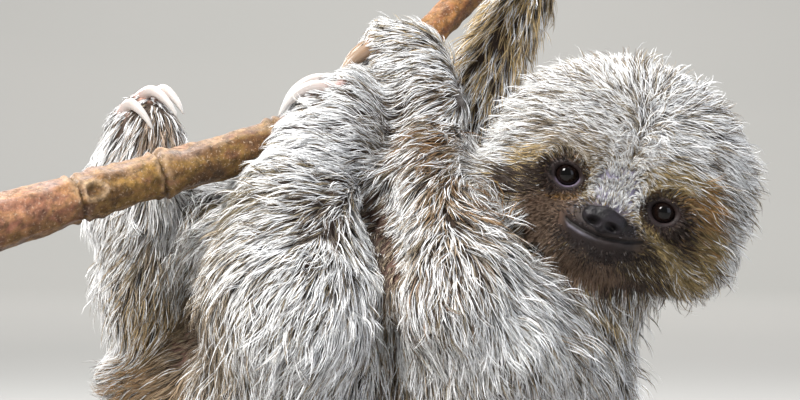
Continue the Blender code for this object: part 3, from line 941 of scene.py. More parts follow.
def makeSkin():
    mesh = outerForm()
    points, edges = pointsOf(mesh), edgesOf(mesh)
    normals = unit(blurred(normalsOf(mesh), edges, 3))
    data = coatData(points, edges)
    isHead = data["limb"] == "head"
    deeper = foldsAt(points)[1] * ~isHead
    points = points - normals * (data["depth"] + deeper)[:, None]
    onFace = smooth(1.2, 0.9, faceSpread(toHead(points))) * isHead
    setPoints(mesh, mix(blurred(points, edges, 2), points, onFace))
    splitFace(mesh)
    edges = edgesOf(mesh)
    points = sculptFace(pointsOf(mesh), edges)
    setPoints(mesh, points)
    data = coatData(points, edges)
    setColours(mesh, "tone", skinColours(points, data))
    mesh.name = "skin"
    piece("skin", mesh, skinMaterial(), "face", *fleshNodes)
    print("skin:", len(mesh.polygons), "faces")
    return mesh, data


eye = {
    "pupil": "#050403",
    "iris": "#0F0908",
    "irisLight": "#170E0B",
    "rim": "#0B0706",
    "white": "#1D1513",
    "cornea": 0.5,  # height of the bulge, in mm
    "fibre": 0.4,  # width of the iris's streaks, in mm
    "outwards": 0.1,  # how far each eye looks to its own side
    # where each tone starts, from the middle of the eye outwards
    "rings": (
        (0.0, "pupil"), (0.2, "pupil"), (0.27, "iris"), (0.44, "irisLight"),
        (0.56, "iris"), (0.62, "rim"), (0.72, "white"),
    ),
}


def eyeMaterial():
    # a wet living eye: dark iris under a clear cornea, glossy all over
    made, tree, shader = newMaterial("wetDarkEye", {"Roughness": 0.06, "IOR": 1.33})
    angle = addNode(tree, "ShaderNodeAttribute", attribute_name="angle").outputs["Fac"]
    place = addNode(tree, "ShaderNodeTexCoord").outputs["Object"]
    size = {"Vector": place, "Scale": perMetre(eye["fibre"]), "Detail": 2.0}
    fibres = addNode(tree, "ShaderNodeTexNoise", size)
    wobble = addNode(tree, "ShaderNodeMath", {0: fibres, 1: 0.05, 2: angle}, operation="MULTIPLY_ADD")
    stops = [(at, eye[tone]) for at, tone in eye["rings"]]
    plug(tree, shader, {"Base Color": addNode(tree, "ShaderNodeValToRGB", {"Fac": wobble}, stops)})
    return made


def makeEyes():
    material = eyeMaterial()
    for node, sign in (("eye_left", 1), ("eye_right", -1)):
        centre = fromHead(np.array((sign * eyeSide, 0.0, head["eyeForward"])))
        gaze = unit(headAxes[2] + headAxes[1] * 0.02 + headAxes[0] * sign * eye["outwards"])
        shape = bmesh.new()
        bmesh.ops.create_uvsphere(shape, u_segments=40, v_segments=28, radius=1.0)
        turn = Vector((0, 0, 1)).rotation_difference(Vector(gaze)).to_matrix().to_4x4()
        bmesh.ops.transform(shape, matrix=turn, verts=shape.verts)
        mesh = meshFrom(shape, node)
        ball = unit(pointsOf(mesh) * mm)
        facing = np.degrees(np.arccos(np.clip(ball @ gaze, -1, 1)))
        radius = head["eyeRadius"] - 0.25 + eye["cornea"] * smooth(48, 20, facing)
        setPoints(mesh, centre + ball * radius[:, None])
        setNumbers(mesh, "angle", facing / 90)
        piece("eyeball_" + node[4:], mesh, material, "eye", node)
    print("eyes")


nose = {
    "tone": "#100D0F",
    "edge": "#1D181D",
    # painted shade inside the nostrils
    "inside": "#060404",
    "nostril": (3.5, -11.2),  # to each side and up from the middle of the face, in mm
    "opening": (1.9, 1.2),  # half width and half height of a nostril
    "depth": 2.6,
    "flare": 0.4,  # height of the rim round it
    "split": (0.45, 0.4),  # depth and width of the groove between them
    "height": 0.84,  # share of the CAD pad's own height and depth
    "bulge": 0.62,
    "cell": 0.55,  # sizes of the skin's cells and clouds, in mm
    "cloud": 3.8,
}


def noseMaterial():
    # bare leathery nose pad, moist, with a grain of small cells
    made, tree, shader = newMaterial("moistNoseLeather", {"Roughness": 0.48, "Specular IOR Level": 0.3})
    place = addNode(tree, "ShaderNodeTexCoord").outputs["Object"]
    cells = addNode(tree, "ShaderNodeTexVoronoi", {"Vector": place, "Scale": perMetre(nose["cell"])})
    size = {"Vector": place, "Scale": perMetre(nose["cloud"]), "Detail": 3.0}
    cloud = addNode(tree, "ShaderNodeTexNoise", size)
    stops = [(0.35, nose["tone"]), (0.68, nose["edge"])]
    tone = addNode(tree, "ShaderNodeValToRGB", {"Fac": cloud}, stops)
    # the nostrils' insides are darkened: painted shade in the holes
    hole = addNode(tree, "ShaderNodeAttribute", attribute_name="open").outputs["Fac"]
    blend = {"Factor": hole, 6: tone, 7: linear(nose["inside"])}
    inside = addNode(tree, "ShaderNodeMix", blend, data_type="RGBA")
    bump = addNode(tree, "ShaderNodeBump", {"Height": cells, "Strength": 0.45, "Distance": 0.2 * mm})
    plug(tree, shader, {"Base Color": inside, "Normal": bump})
    return made


def makeNose():
    mesh = remeshed(joined(["nose"], 0.25), 0.42, 6)
    local = toHead(pointsOf(mesh))
    bottom, middle = local[:, 1].min(), np.median(local[:, 2])
    local[:, 1] = bottom + (local[:, 1] - bottom) * nose["height"]
    local[:, 2] = middle + (local[:, 2] - middle) * nose["bulge"]
    side, up = nose["nostril"]
    wide, high = nose["opening"]
    for sign in (-1, 1):
        x, y = local[:, 0] - sign * side, local[:, 1] - up
        q = np.hypot((x + sign * y * 0.35) / wide, y / high)
        front = local[:, 2] > middle
        local[:, 2] -= front * nose["depth"] * bell(q, 1.0)
        local[:, 2] += front * nose["flare"] * bell(q, 0.5, 1.7)
    depth, width = nose["split"]
    local[:, 2] -= depth * bell(local[:, 0], width) * smooth(-8.5, -11, local[:, 1])
    local[:, 2] += 0.05 * waves(local, 2.6, 9)
    setPoints(mesh, fromHead(local))
    # where the nostrils are, for their painted shade
    gaps = [np.hypot((local[:, 0] - s * side) / wide, (local[:, 1] - up) / 1.25) for s in (-1, 1)]
    setNumbers(mesh, "open", smooth(1.25, 0.5, np.min(gaps, axis=0)))
    piece("nose_pad", mesh, noseMaterial(), "nose", "nose")
    print("nose")


clawLook = {
    "radius": {"foot_left": 2.6, "foot_right": 2.3, "hand_left": 2.5, "hand_right": 2.15},
    "arch": {"foot_left": 0.0, "foot_right": 1.3, "hand_left": 0.0, "hand_right": 0.0},
    "root": 3.0,  # length hidden in the digit
    "tip": 0.35,
    "narrow": 0.82,  # width over height
    "rings": 30,
    "sides": 18,
    "streak": (12.5, 0.6),  # length and width in mm
    "foot": ("#B08F86", "#BDB2AC", "#C9C5C1"),  # root, middle and tip
    "hand": ("#86694F", "#8F765E", "#6F5843"),
}


def clawMaterial():
    # keratin claw: satin ivory horn with fine streaks along it, and pink quick at its root
    finish = {"Roughness": 0.36, "IOR": 1.54}
    finish.update({"Subsurface Weight": 0.1, "Subsurface Radius": (0.002, 0.0014, 0.001)})
    made, tree, shader = newMaterial("ivoryKeratin", finish)
    tone = addNode(tree, "ShaderNodeAttribute", attribute_name="tone")
    along = addNode(tree, "ShaderNodeAttribute", attribute_name="along").outputs["Fac"]
    turn = addNode(tree, "ShaderNodeAttribute", attribute_name="round").outputs["Fac"]
    sheet = addNode(tree, "ShaderNodeCombineXYZ", {"X": along, "Y": turn})
    # the sheet is in mm, so its scales are one over the real size
    long, wide = clawLook["streak"]
    stretch = addNode(tree, "ShaderNodeMapping", {"Vector": sheet, "Scale": (1 / long, 1 / wide, 1)})
    streak = addNode(tree, "ShaderNodeTexNoise", {"Vector": stretch, "Scale": 1.0, "Detail": 3.0})
    span = {"Value": streak, "From Min": 0.3, "From Max": 0.7, "To Min": 0.8, "To Max": 1.08}
    shade = addNode(tree, "ShaderNodeMapRange", span)
    mixed = addNode(tree, "ShaderNodeVectorMath", {0: tone, 1: shade}, operation="MULTIPLY")
    bump = addNode(tree, "ShaderNodeBump", {"Height": streak, "Strength": 0.3, "Distance": 0.3 * mm})
    plug(tree, shader, {"Base Color": mixed, "Normal": bump})
    return made


def makeClaw(node, line, material):
    # rings of an oval that tapers along the CAD claw's own centreline
    rings, count, tip = clawLook["rings"], clawLook["sides"], clawLook["tip"]
    root = line[0] - unit(line[1] - line[0]) * clawLook["root"]
    guide = evenOut(np.vstack((root, line, line[-1] + unit(line[-1] - line[-2]) * 0.6)), 2)
    steps = runOf(guide)
    places = np.linspace(0, steps[-1], rings)
    share = places / steps[-1]
    centre = evenOut(onLine(guide, places, steps), 4)
    bow = unit(centre[rings // 2] - (centre[0] + centre[-1]) / 2)
    centre = centre + bow * (clawLook["arch"][endOf(node)] * np.sin(math.pi * share**1.4))[:, None]
    way = unit(np.gradient(centre, axis=0))
    flat = unit(np.cross(centre[0] - centre[rings // 2], centre[-1] - centre[rings // 2]))
    across = unit(flat - dot(flat[None], way)[:, None] * way)
    high = np.cross(way, across)
    radius = tip + (clawLook["radius"][endOf(node)] - tip) * (1 - share**2.6) ** 0.85
    angles = np.linspace(0, 2 * math.pi, count, endpoint=False)
    wide, tall = np.cos(angles) * clawLook["narrow"], np.sin(angles)
    oval = across[:, None] * wide[None, :, None] + high[:, None] * tall[None, :, None]
    points = centre[:, None] + radius[:, None, None] * oval

    shape = bmesh.new()
    rows = [[shape.verts.new(p * mm) for p in ring] for ring in points]
    for lower, upper in zip(rows, rows[1:]):
        for i in range(count):
            shape.faces.new((lower[i], lower[(i + 1) % count], upper[(i + 1) % count], upper[i]))
    shape.faces.new(rows[0][::-1])
    end = shape.verts.new((centre[-1] + way[-1] * tip) * mm)
    for i in range(count):
        shape.faces.new((rows[-1][i], rows[-1][(i + 1) % count], end))
    bmesh.ops.recalc_face_normals(shape, faces=shape.faces)
    mesh = meshFrom(shape, node)
    along = np.append(np.repeat(places, count), steps[-1])
    setNumbers(mesh, "along", along)
    setNumbers(mesh, "round", np.append(np.tile(np.abs(angles - math.pi) * 2.0, rings), 0))
    low, middle, high = (rgb(tone) for tone in clawLook[node[5:9]])
    part = along / steps[-1]
    tone = mix(mix(low, middle, smooth(0.1, 0.45, part)), high, smooth(0.5, 0.95, part))
    setColours(mesh, "tone", tone)
    piece(node + "_horn", mesh, material, "claw", node)


def makeClaws():
    material = clawMaterial()
    for node, line in claws.items():
        makeClaw(node, line, material)
    print("claws:", len(claws))


bark = {
    "voxel": 0.75,
    "blotch": (12.5, 5.0),  # length and width in mm
    "crack": (7.0, 2.0),
    "stain": 2.5,
    "grit": 0.8,
    "red": "#9C6A55",
    "olive": "#78582F",
    "yellow": "#8C6A32",
    # painted highlight along the branch's top
    "pink": "#9E8578",
    "greyBrown": "#5E4632",
    "umber": "#482B10",
    "brown": "#4E2F22",
    "orange": "#9A623A",
    "dark": "#2E1D14",
    "pale": "#B39C84",
    "sawn": "#C9AE85",
    "blotches": [(0.32, "#301D0F"), (0.45, "#644423"), (0.56, "#8C6E33"), (0.68, "#85563F")],
    # colours along the branch: tone, x in mm where it starts and is reached, strength, how wavy the change
    "lengths": (
        ("olive", -112, -92, 1.0, 6),
        ("umber", -74, -54, 0.85, 6),
        ("brown", -47, -42, 1.0, 0),
        ("orange", -10, 15, 0.8, 6),
        ("greyBrown", 30, 55, 0.7, 6),
    ),
    "knot": (-103.0, 0.2),  # x of the old twig's scar, and how far it is turned up from the front, in radians
    "knotRadius": 3.5,
    "nodes": (-107.5, -81.5, -43.5, 30, 58),  # x of the rings where leaves grew
    "ring": 0.75,  # heights and depths on the bark, in mm
    "slit": 1.1,
    "rim": 0.7,
    "lumps": ((0.35, 14.0, 3), (0.2, 5.0, 4), (0.1, 3.2, 6)),  # height, wavelength, seed
}


def barkMaterial():
    # weathered thin bark: blotched brown and olive, cracked lengthways, with pale specks and a damp sheen
    made, tree, shader = newMaterial("weatheredThinBark", {"Roughness": 0.5, "Specular IOR Level": 0.32})
    tint = addNode(tree, "ShaderNodeAttribute", attribute_name="tone")
    place = addNode(tree, "ShaderNodeTexCoord").outputs["Object"]
    along = addNode(tree, "ShaderNodeAttribute", attribute_name="along").outputs["Fac"]
    turn = addNode(tree, "ShaderNodeAttribute", attribute_name="round").outputs["Fac"]
    sheet = addNode(tree, "ShaderNodeCombineXYZ", {"X": along, "Y": turn})
    long, wide = bark["blotch"]  # the sheet is in mm, as on the claws
    stretch = addNode(tree, "ShaderNodeMapping", {"Vector": sheet, "Scale": (1 / long, 1 / wide, 1)})
    size = {"Vector": stretch, "Scale": 1.0, "Detail": 5.0, "Distortion": 0.4}
    blotch = addNode(tree, "ShaderNodeTexNoise", size)
    long, wide = bark["crack"]
    stretch = addNode(tree, "ShaderNodeMapping", {"Vector": sheet, "Scale": (1 / long, 1 / wide, 1)})
    size = {"Vector": stretch, "Scale": 1.0, "Detail": 6.0, "Roughness": 0.7}
    crack = addNode(tree, "ShaderNodeTexNoise", size)
    size = {"Vector": place, "Scale": perMetre(bark["stain"]), "Detail": 5.0, "Roughness": 0.65}
    stain = addNode(tree, "ShaderNodeTexNoise", size)
    size = {"Vector": place, "Scale": perMetre(bark["grit"]), "Detail": 3.0}
    grit = addNode(tree, "ShaderNodeTexNoise", size)

    warm = addNode(tree, "ShaderNodeValToRGB", {"Fac": blotch}, bark["blotches"])
    base = addNode(tree, "ShaderNodeMix", {"Factor": 0.42, 6: tint, 7: warm}, data_type="RGBA")
    span = {"Value": stain, "From Min": 0.34, "From Max": 0.66, "To Min": 0.5, "To Max": 1.4}
    shade = addNode(tree, "ShaderNodeMapRange", span)
    span = {"Value": crack, "From Min": 0.3, "From Max": 0.38, "To Min": 0.3, "To Max": 1.0}
    lines = addNode(tree, "ShaderNodeMapRange", span)
    both = addNode(tree, "ShaderNodeMath", {0: shade, 1: lines}, operation="MULTIPLY")
    darkened = addNode(tree, "ShaderNodeVectorMath", {0: base, 1: both}, operation="MULTIPLY")
    span = {"Value": grit, "From Min": 0.6, "From Max": 0.68, "To Max": 0.55}
    speck = addNode(tree, "ShaderNodeMapRange", span)
    blend = {"Factor": speck, 6: darkened, 7: linear(bark["pale"])}
    final = addNode(tree, "ShaderNodeMix", blend, data_type="RGBA")
    span = {"Value": blotch, "From Min": 0.35, "From Max": 0.65, "To Min": 0.36, "To Max": 0.68}
    rough = addNode(tree, "ShaderNodeMapRange", span)
    relief = addNode(tree, "ShaderNodeMath", {0: lines, 1: 0.8, 2: stain}, operation="MULTIPLY_ADD")
    relief = addNode(tree, "ShaderNodeMath", {0: grit, 1: 0.5, 2: relief}, operation="MULTIPLY_ADD")
    bump = addNode(tree, "ShaderNodeBump", {"Height": relief, "Strength": 0.8, "Distance": 0.7 * mm})
    plug(tree, shader, {"Base Color": final, "Roughness": rough, "Normal": bump})
    return made


def makePerch():
    # a peeled-looking green branch: thin smooth bark with leaf-scar rings, small corky spots and fine cracks
    mesh = remeshed(joined(["perch"]), bark["voxel"], 3)
    points = pointsOf(mesh)
    steps = runOf(perchAxis)
    near, out = outOfPerch(points)
    way = perchWay[near]
    along = steps[near] + dot(points - perchAxis[near], way)
    flat = unit(np.cross(way, (0.0, 0.0, 1.0)))
    high = np.cross(flat, way)
    around = np.arctan2(dot(out, high), dot(out, flat))
    radial = unit(out)

    ring, slit = np.zeros((2, len(points)))
    for number, x in enumerate(bark["nodes"]):
        wave = along - np.interp(x, perchAxis[:, 0], steps)
        wave = wave + 1.1 * np.sin(around + number) + 0.6 * waves(points, 4.0, 40 + number)
        ring += bell(wave, 1.1, -1.9) + 0.8 * bell(wave, 1.6, 1.9)
        slit += bell(wave, 0.85) * smooth(-2.4, -0.9, waves(points, 9.0, 50 + number))
    lumps = sum(size * waves(points, length, seed) for size, length, seed in bark["lumps"])
    ends = smooth(0, 3, along - along.min()) * smooth(0, 3, along.max() - along)
    height = (bark["ring"] * ring - bark["slit"] * slit + lumps) * ends
    facing = np.arctan2(dot(out, high), -out[:, 1])  # 0 towards the front, a quarter turn at the top
    across = (facing - bark["knot"][1]) * 8.0
    knot = np.hypot(along - np.interp(bark["knot"][0], perchAxis[:, 0], steps), across)
    knot = knot + 0.5 * waves(points, 3.5, 33)
    rim = bell(knot, 0.8, bark["knotRadius"])
    hollow = smooth(3.2, 2.2, knot)
    whorl = np.sin(knot * 3.6)
    height += bark["rim"] * rim - bark["rim"] * hollow + 0.35 * hollow * whorl
    points = points + radial * height[:, None]
    setPoints(mesh, points)

    def paint(tone, name, share):
        return mix(tone, rgb(bark[name]), share)

    tone = rgb(bark["red"])
    sway = waves(points, 24.0, 8)
    for name, start, full, strength, wavy in bark["lengths"]:
        tone = paint(tone, name, smooth(start, full, points[:, 0] + wavy * sway) * strength)
    x = points[:, 0] + 6 * sway
    up = radial[:, 2]
    top = smooth(-0.2, 0.9, up + 0.3 * waves(points, 9.0, 12)) * smooth(-112, -95, x) * smooth(-60, -78, x)
    tone = paint(tone, "yellow", top * 0.6)
    # painted highlight: pinker along the top of the branch
    top = smooth(0.45, 0.85, up + 0.2 * waves(points, 12.0, 15)) * smooth(-40, -60, x)
    tone = paint(tone, "pink", top * 0.7)
    cut = np.clip(slit, 0, 1)
    tone = paint(tone, "dark", cut * 0.95)
    tone = paint(tone, "pale", np.clip(ring, 0, 1) * 0.4 * (1 - cut))
    # painted shade along the branch's underside
    tone = paint(tone, "dark", smooth(0.0, -0.8, up + 0.25 * waves(points, 7.0, 14)) * 0.72)
    tone = paint(tone, "dark", hollow * (0.55 + 0.3 * whorl))
    tone = paint(tone, "pale", rim * 0.75)
    tone = paint(tone, "sawn", 1 - ends)
    setColours(mesh, "tone", tone)
    setNumbers(mesh, "along", along)
    setNumbers(mesh, "round", around * 7.5)
    piece("branch", mesh, barkMaterial(), "bark", "perch")
    print("branch:", len(mesh.polygons), "faces")


stand = {
    "wood": ("#2B1B12", "#4A3020"),
    "grain": (50.0, 2.5),  # length and width in mm
    "pore": (6.7, 0.4),
    "steel": ("#8E9092", "#A9ABAD"),
    "brush": (3.3, 0.3),
}


def woodMaterial():
    # base: dark-stained beech under satin varnish, long grain with fine pores
    finish = {"Roughness": 0.38, "Coat Weight": 0.25, "Coat Roughness": 0.25}
    made, tree, shader = newMaterial("stainedBeech", finish)
    place = addNode(tree, "ShaderNodeTexCoord").outputs["Object"]
    long, wide = perMetre(*stand["grain"])
    size = addNode(tree, "ShaderNodeMapping", {"Vector": place, "Scale": (long, wide, wide)})
    grain = {"Vector": size, "Scale": 1.0, "Detail": 6.0, "Distortion": 0.6}
    warp = addNode(tree, "ShaderNodeTexNoise", grain)
    long, wide = perMetre(*stand["pore"])
    size = addNode(tree, "ShaderNodeMapping", {"Vector": place, "Scale": (long, wide, wide)})
    fine = addNode(tree, "ShaderNodeTexNoise", {"Vector": size, "Scale": 1.0, "Detail": 2.0})
    blend = addNode(tree, "ShaderNodeMath", {0: fine, 1: 0.25, 2: warp}, operation="MULTIPLY_ADD")
    stops = [(0.42, stand["wood"][0]), (0.78, stand["wood"][1])]
    colour = addNode(tree, "ShaderNodeValToRGB", {"Fac": blend}, stops)
    bump = addNode(tree, "ShaderNodeBump", {"Height": fine, "Strength": 0.15, "Distance": 0.2 * mm})
    plug(tree, shader, {"Base Color": colour, "Normal": bump})
    return made


def steelMaterial():
    # rods: turned steel, brushed round its length
    made, tree, shader = newMaterial("brushedSteel", {"Roughness": 0.3, "Metallic": 1.0})
    place = addNode(tree, "ShaderNodeTexCoord").outputs["Object"]
    wide, fine = perMetre(*stand["brush"])
    size = addNode(tree, "ShaderNodeMapping", {"Vector": place, "Scale": (wide, wide, fine)})
    lines = addNode(tree, "ShaderNodeTexNoise", {"Vector": size, "Scale": 1.0, "Detail": 3.0})
    stops = [(0.3, stand["steel"][0]), (0.7, stand["steel"][1])]
    colour = addNode(tree, "ShaderNodeValToRGB", {"Fac": lines}, stops)
    rough = addNode(tree, "ShaderNodeMapRange", {"Value": lines, "To Min": 0.22, "To Max": 0.4})
    plug(tree, shader, {"Base Color": colour, "Roughness": rough})
    return made


def makeStand():
    wood, steel = woodMaterial(), steelMaterial()
    for node, material in (("stand_base", wood), ("stand_rod_perch", steel), ("stand_rod_body", steel)):
        materials = frame["nodes"][node].data.materials
        if not materials:
            materials.append(material)
        for index in range(len(materials)):
            materials[index] = material
    print("stand")


coat = {
    "strandsPerTuft": 5,
    "rootWidth": 0.28,
    "bodyWidth": 0.36,
    "tipWidth": 0.08,
    "widthVaries": (0.75, 1.25),
    "spread": 1.5,  # how far a tuft's strands stand apart at the root, in mm
    "wander": 0.26,  # how far a tuft turns from the lie of the coat, in radians
    "curl": 0.55,
    "lengthVaries": (0.8, 1.15),
    "lift": (0.75, 1.3),  # how high a tuft rises, as a share of the coat's depth
    "flyaway": 0.07,  # share of the tufts that stand off from the rest
    "flyawayLift": (1.5, 2.6),
    "ruffLonger": 0.45,
    "gripLength": 0.65,  # share of the hair's length left beside the branch
    "gather": 0.5,  # how far a tuft's strands close up towards its tip
    "rootShade": 0.3,  # brightness of a strand at its root
    "patch": 0.003,  # size of one tuft in the unwrap
    "mottle": 1.5,  # size of the mottling along a strand, in mm
}

# piece: strands, segments in each, share of the body's strand width
coatPieces = {
    "coat_face": (30000, 3, 0.46),
    "coat_cheeks": (27500, 4, 0.8),
    "coat_crown": (26500, 4, 0.88),
    "coat_arm_left": (26000, 4, 0.95),
    "coat_leg_left": (26000, 4, 0.95),
    "coat_leg_right": (23500, 4, 0.95),
    "coat_arm_right": (17500, 4, 1.0),
    "coat_chest": (22500, 4, 1.0),
    "coat_back": (22500, 4, 1.1),
}

# where the tufts stand up and splay, as in front of the cheek: place, reach, extra lift, extra lean
ruffs = [
    ((28, -44, 147), 9.0, 1.9, 0.5),
    ((33, -46, 138), 9.0, 1.9, 0.6),
    ((39, -47, 129), 8.0, 1.5, 0.5),
    ((-104, -6, 176), 9.0, 0.7, 0.3),
]

# places on the body where the coat changes colour, markings together with painted shade and painted light:
# centre, reach, pale share there, colour, strength
coatMarksAndPaintedShading = [
    ((-84, -14, 128), 17, 0.45, "tan", 0.55),
    ((-84, -12, 110), 13, 0.4, "straw", 0.5),
    ((-80, -8, 84), 18, 0.15, "orange", 0.7),
    # painted shade: dark hair in the hollow by the right leg
    ((-71, -8, 106), 9, 0.02, "brown", 0.9),
    ((-88, -14, 120), 3.5, 0.1, "umber", 0.9),
    ((-83, -12, 174), 9, 0.3, "foldHair", 0.75),
    ((-102, -8, 170), 15, 0.95, "brown", 0.0),
    ((-110, -2, 130), 13, 0.95, "brown", 0.0),
    ((-48, -32, 148), 12, 0.4, "olive", 0.5),
    ((-60, -38, 140), 12, 0.4, "tan", 0.4),
    ((-58, -45, 122), 14, 0.42, "tan", 0.25),
    ((-60, -42, 104), 18, 0.3, "tan", 0.4),
    # these two: painted shade, dark hair in the gap between the right leg and the left thigh
    ((-69, -46, 108), 10, 0.06, "brown", 0.85),
    ((-67, -16, 105), 10, 0.06, "brown", 0.85),
    # painted shadow: browner hair on the side of the rump
    ((-78, -22, 90), 15, 0.2, "tan", 0.5),
    # these two: paler hair, painted light on the left leg's lower right side
    ((-13, -56, 88), 13, 0.95, "brown", 0.0),
    ((-20, -60, 104), 16, 0.93, "brown", 0.0),
    ((-19, -52, 132), 8, 0.85, "brown", 0.0),
    ((-26, -46, 145), 8, 0.3, "brown", 0.4),
    ((-14, -46, 122), 10, 0.8, "brown", 0.0),
    ((6, -12, 184), 17, 0.48, "brown", 0.3),
    ((16, -24, 172), 12, 0.25, "orange", 0.35),
    ((22, -44, 152), 11, 0.3, "orange", 0.45),
    ((8, -50, 140), 13, 0.62, "tan", 0.3),
    ((14, -54, 122), 12, 0.5, "umber", 0.2),
    ((20, -30, 160), 14, 0.4, "brown", 0.3),
    ((42, 60, 225), 45, 0.6, "straw", 0.7),
    ((40, -52, 128), 9, 0.75, "brown", 0.1),
    # painted shadow: dark hair in the gap under the chin
    ((57, -38, 127), 9, 0.1, "brown", 0.8),
    # paler hair: painted light where the head's shadow falls on the chest
    ((60, -40, 112), 16, 0.6, "tan", 0.2),
    # painted shadow under the chin
    ((85, -34, 116), 10, 0.2, "gold", 0.5),
    # paler hair: painted light where the head's shadow falls on the chest
    ((74, -36, 98), 18, 0.85, "tan", 0.1),
    ((34, -52, 108), 14, 0.92, "brown", 0.0),
    # painted shadow: darker gold hair in the gap under the chin
    ((74, -34, 122), 14, 0.12, "gold", 0.6),
    ((0, 0, 60), 60, 0.45, "tan", 0.2),
]


def blend(values, weights):
    # values at the corners of triangles, mixed by the corners' weights
    return (values * (weights[..., None] if values.ndim == 3 else weights)).sum(1)


class Hide:
    # the skin as arrays, for planting tufts on it and laying them along it
    def __init__(self, mesh, data):
        mesh.calc_loop_triangles()
        self.data = data
        self.points = pointsOf(mesh)
        self.normals = unit(blurred(normalsOf(mesh), edgesOf(mesh), 2))
        self.triangles = readAll(mesh.loop_triangles, "vertices", 3, np.int32)
        faces = self.triangles.tolist()
        self.tree = BVHTree.FromPolygons((self.points * mm).tolist(), faces, all_triangles=True)
        a, b, c = (self.points[self.triangles[:, corner]] for corner in range(3))
        self.areas = np.linalg.norm(np.cross(b - a, c - a), axis=1) / 2
        self.local = toHead(self.points)
        self.spread = np.where(data["limb"] == "head", faceSpread(self.local), 3.0)

    def zones(self):
        limb, y = self.data["limb"], self.points[:, 1]
        rest = (limb == "head") & (self.spread >= 1.05)
        torso = limb == "torso"
        return {
            "coat_face": (limb == "head") & (self.spread < 1.05),
            "coat_cheeks": rest & (self.local[:, 2] > -2),
            "coat_crown": rest & (self.local[:, 2] <= -2),
            "coat_arm_left": limb == "armleft",
            "coat_leg_left": limb == "legleft",
            "coat_leg_right": limb == "legright",
            "coat_arm_right": limb == "armright",
            "coat_chest": torso & (y < 8),
            "coat_back": torso & (y >= 8),
        }

    def growth(self):
        # 1 where hair grows, 0 on lids, nose, lips and where the branch is held
        local = self.local
        front = local[:, 2] > 15
        grows = smooth(1.12, 1.4, eyeDistance(local))
        _, drop = mouthDistance(local)
        lips = smooth(16, 13, np.abs(local[:, 0])) * smooth(-2.0, -1.0, drop) * smooth(4.5, 2.6, drop) * front
        pad = np.hypot(local[:, 0] / 8.4, (local[:, 1] + 9.8) / 4.5)
        grows = grows * (1 - lips) * np.where(local[:, 2] > 25, smooth(0.9, 1.05, pad), 1)
        grows = grows * mix(1.0, 0.5, patchShare(local, "muzzle", 0.3))
        low, high = np.array(head["parting"])
        parting = np.hypot(local[:, 0] - 1.2, local[:, 1] - np.clip(local[:, 1], low[1] - 1, high[1] + 1))
        grows = grows * mix(1.0, 2.6, smooth(5.0, 1.0, parting) * front)
        gap, out = perchClear(self.points)
        outer = smooth(-0.4, 0.0, dot(self.normals, out)) * smooth(-0.8, -0.1, gap)
        return grows * np.maximum(smooth(0.6, 2.2, gap), outer) * (1 + 0.8 * smooth(10, 2, gap))

    def at(self, index, weights):
        rows = self.triangles[index]
        return {name: blend(self.data[name][rows], weights) for name in ("length", "depth", "pale", "flow")}


def turned(vectors, axes, angles):
    c, s = np.cos(angles)[:, None], np.sin(angles)[:, None]
    return vectors * c + np.cross(axes, vectors) * s + axes * dot(axes, vectors)[:, None] * (1 - c)


def plantTufts(hide, zone, grows, tufts, chance):
    # more of them where the skin is wide and the hair thick: their triangles, and their places in those
    inZone = zone[hide.triangles].mean(1) > 0.5
    weight = hide.areas * inZone * grows[hide.triangles].mean(1)
    weight *= 1 - 0.7 * foldsAt(hide.points[hide.triangles[:, 0]])[2]
    index = chance.choice(len(weight), tufts, p=weight / weight.sum())
    a, b = np.sqrt(chance.random(tufts)), chance.random(tufts)
    weights = np.stack((1 - a, a * (1 - b), a * b), 1)
    return index, weights, blend(hide.points[hide.triangles[index]], weights)


def poseTufts(found, roots, beside, chance):
    # how high each tuft rises and how far it turns from the lie of the coat; its length varies too
    tufts = len(roots)
    found["length"] = found["length"] * chance.uniform(*coat["lengthVaries"], tufts)
    found["length"] *= mix(coat["gripLength"], 1.0, smooth(2, 12, perchClear(roots)[0]))
    loose = chance.random(tufts) < coat["flyaway"]
    lift = np.where(loose, chance.uniform(*coat["flyawayLift"], tufts), chance.uniform(*coat["lift"], tufts))
    lean = waves(roots, 11.0, 31) + 0.8 * chance.normal(size=tufts)
    lean = coat["wander"] * lean * np.where(loose, 1.8, 1.0)
    lean, lift = lean * (1 - 0.85 * beside), mix(lift, np.minimum(lift, 0.8), beside)
    for place, reach, higher, looser in ruffs:
        near = bell(distance(roots, place), reach) * chance.random(tufts)
        lift = lift + near * higher
        found["length"] = found["length"] * (1 + near * coat["ruffLonger"])
        lean = lean + near * looser * chance.normal(size=tufts)
    local = toHead(roots)
    beyond = np.maximum(local[:, 1] - 29, 0) + np.maximum(12 - local[:, 1], 0)
    parting = smooth(6.0, 1.5, np.hypot(local[:, 0] - 1.2, beyond))
    return lift, lean + chance.normal(size=tufts) * parting * (local[:, 2] > 20) * 0.9


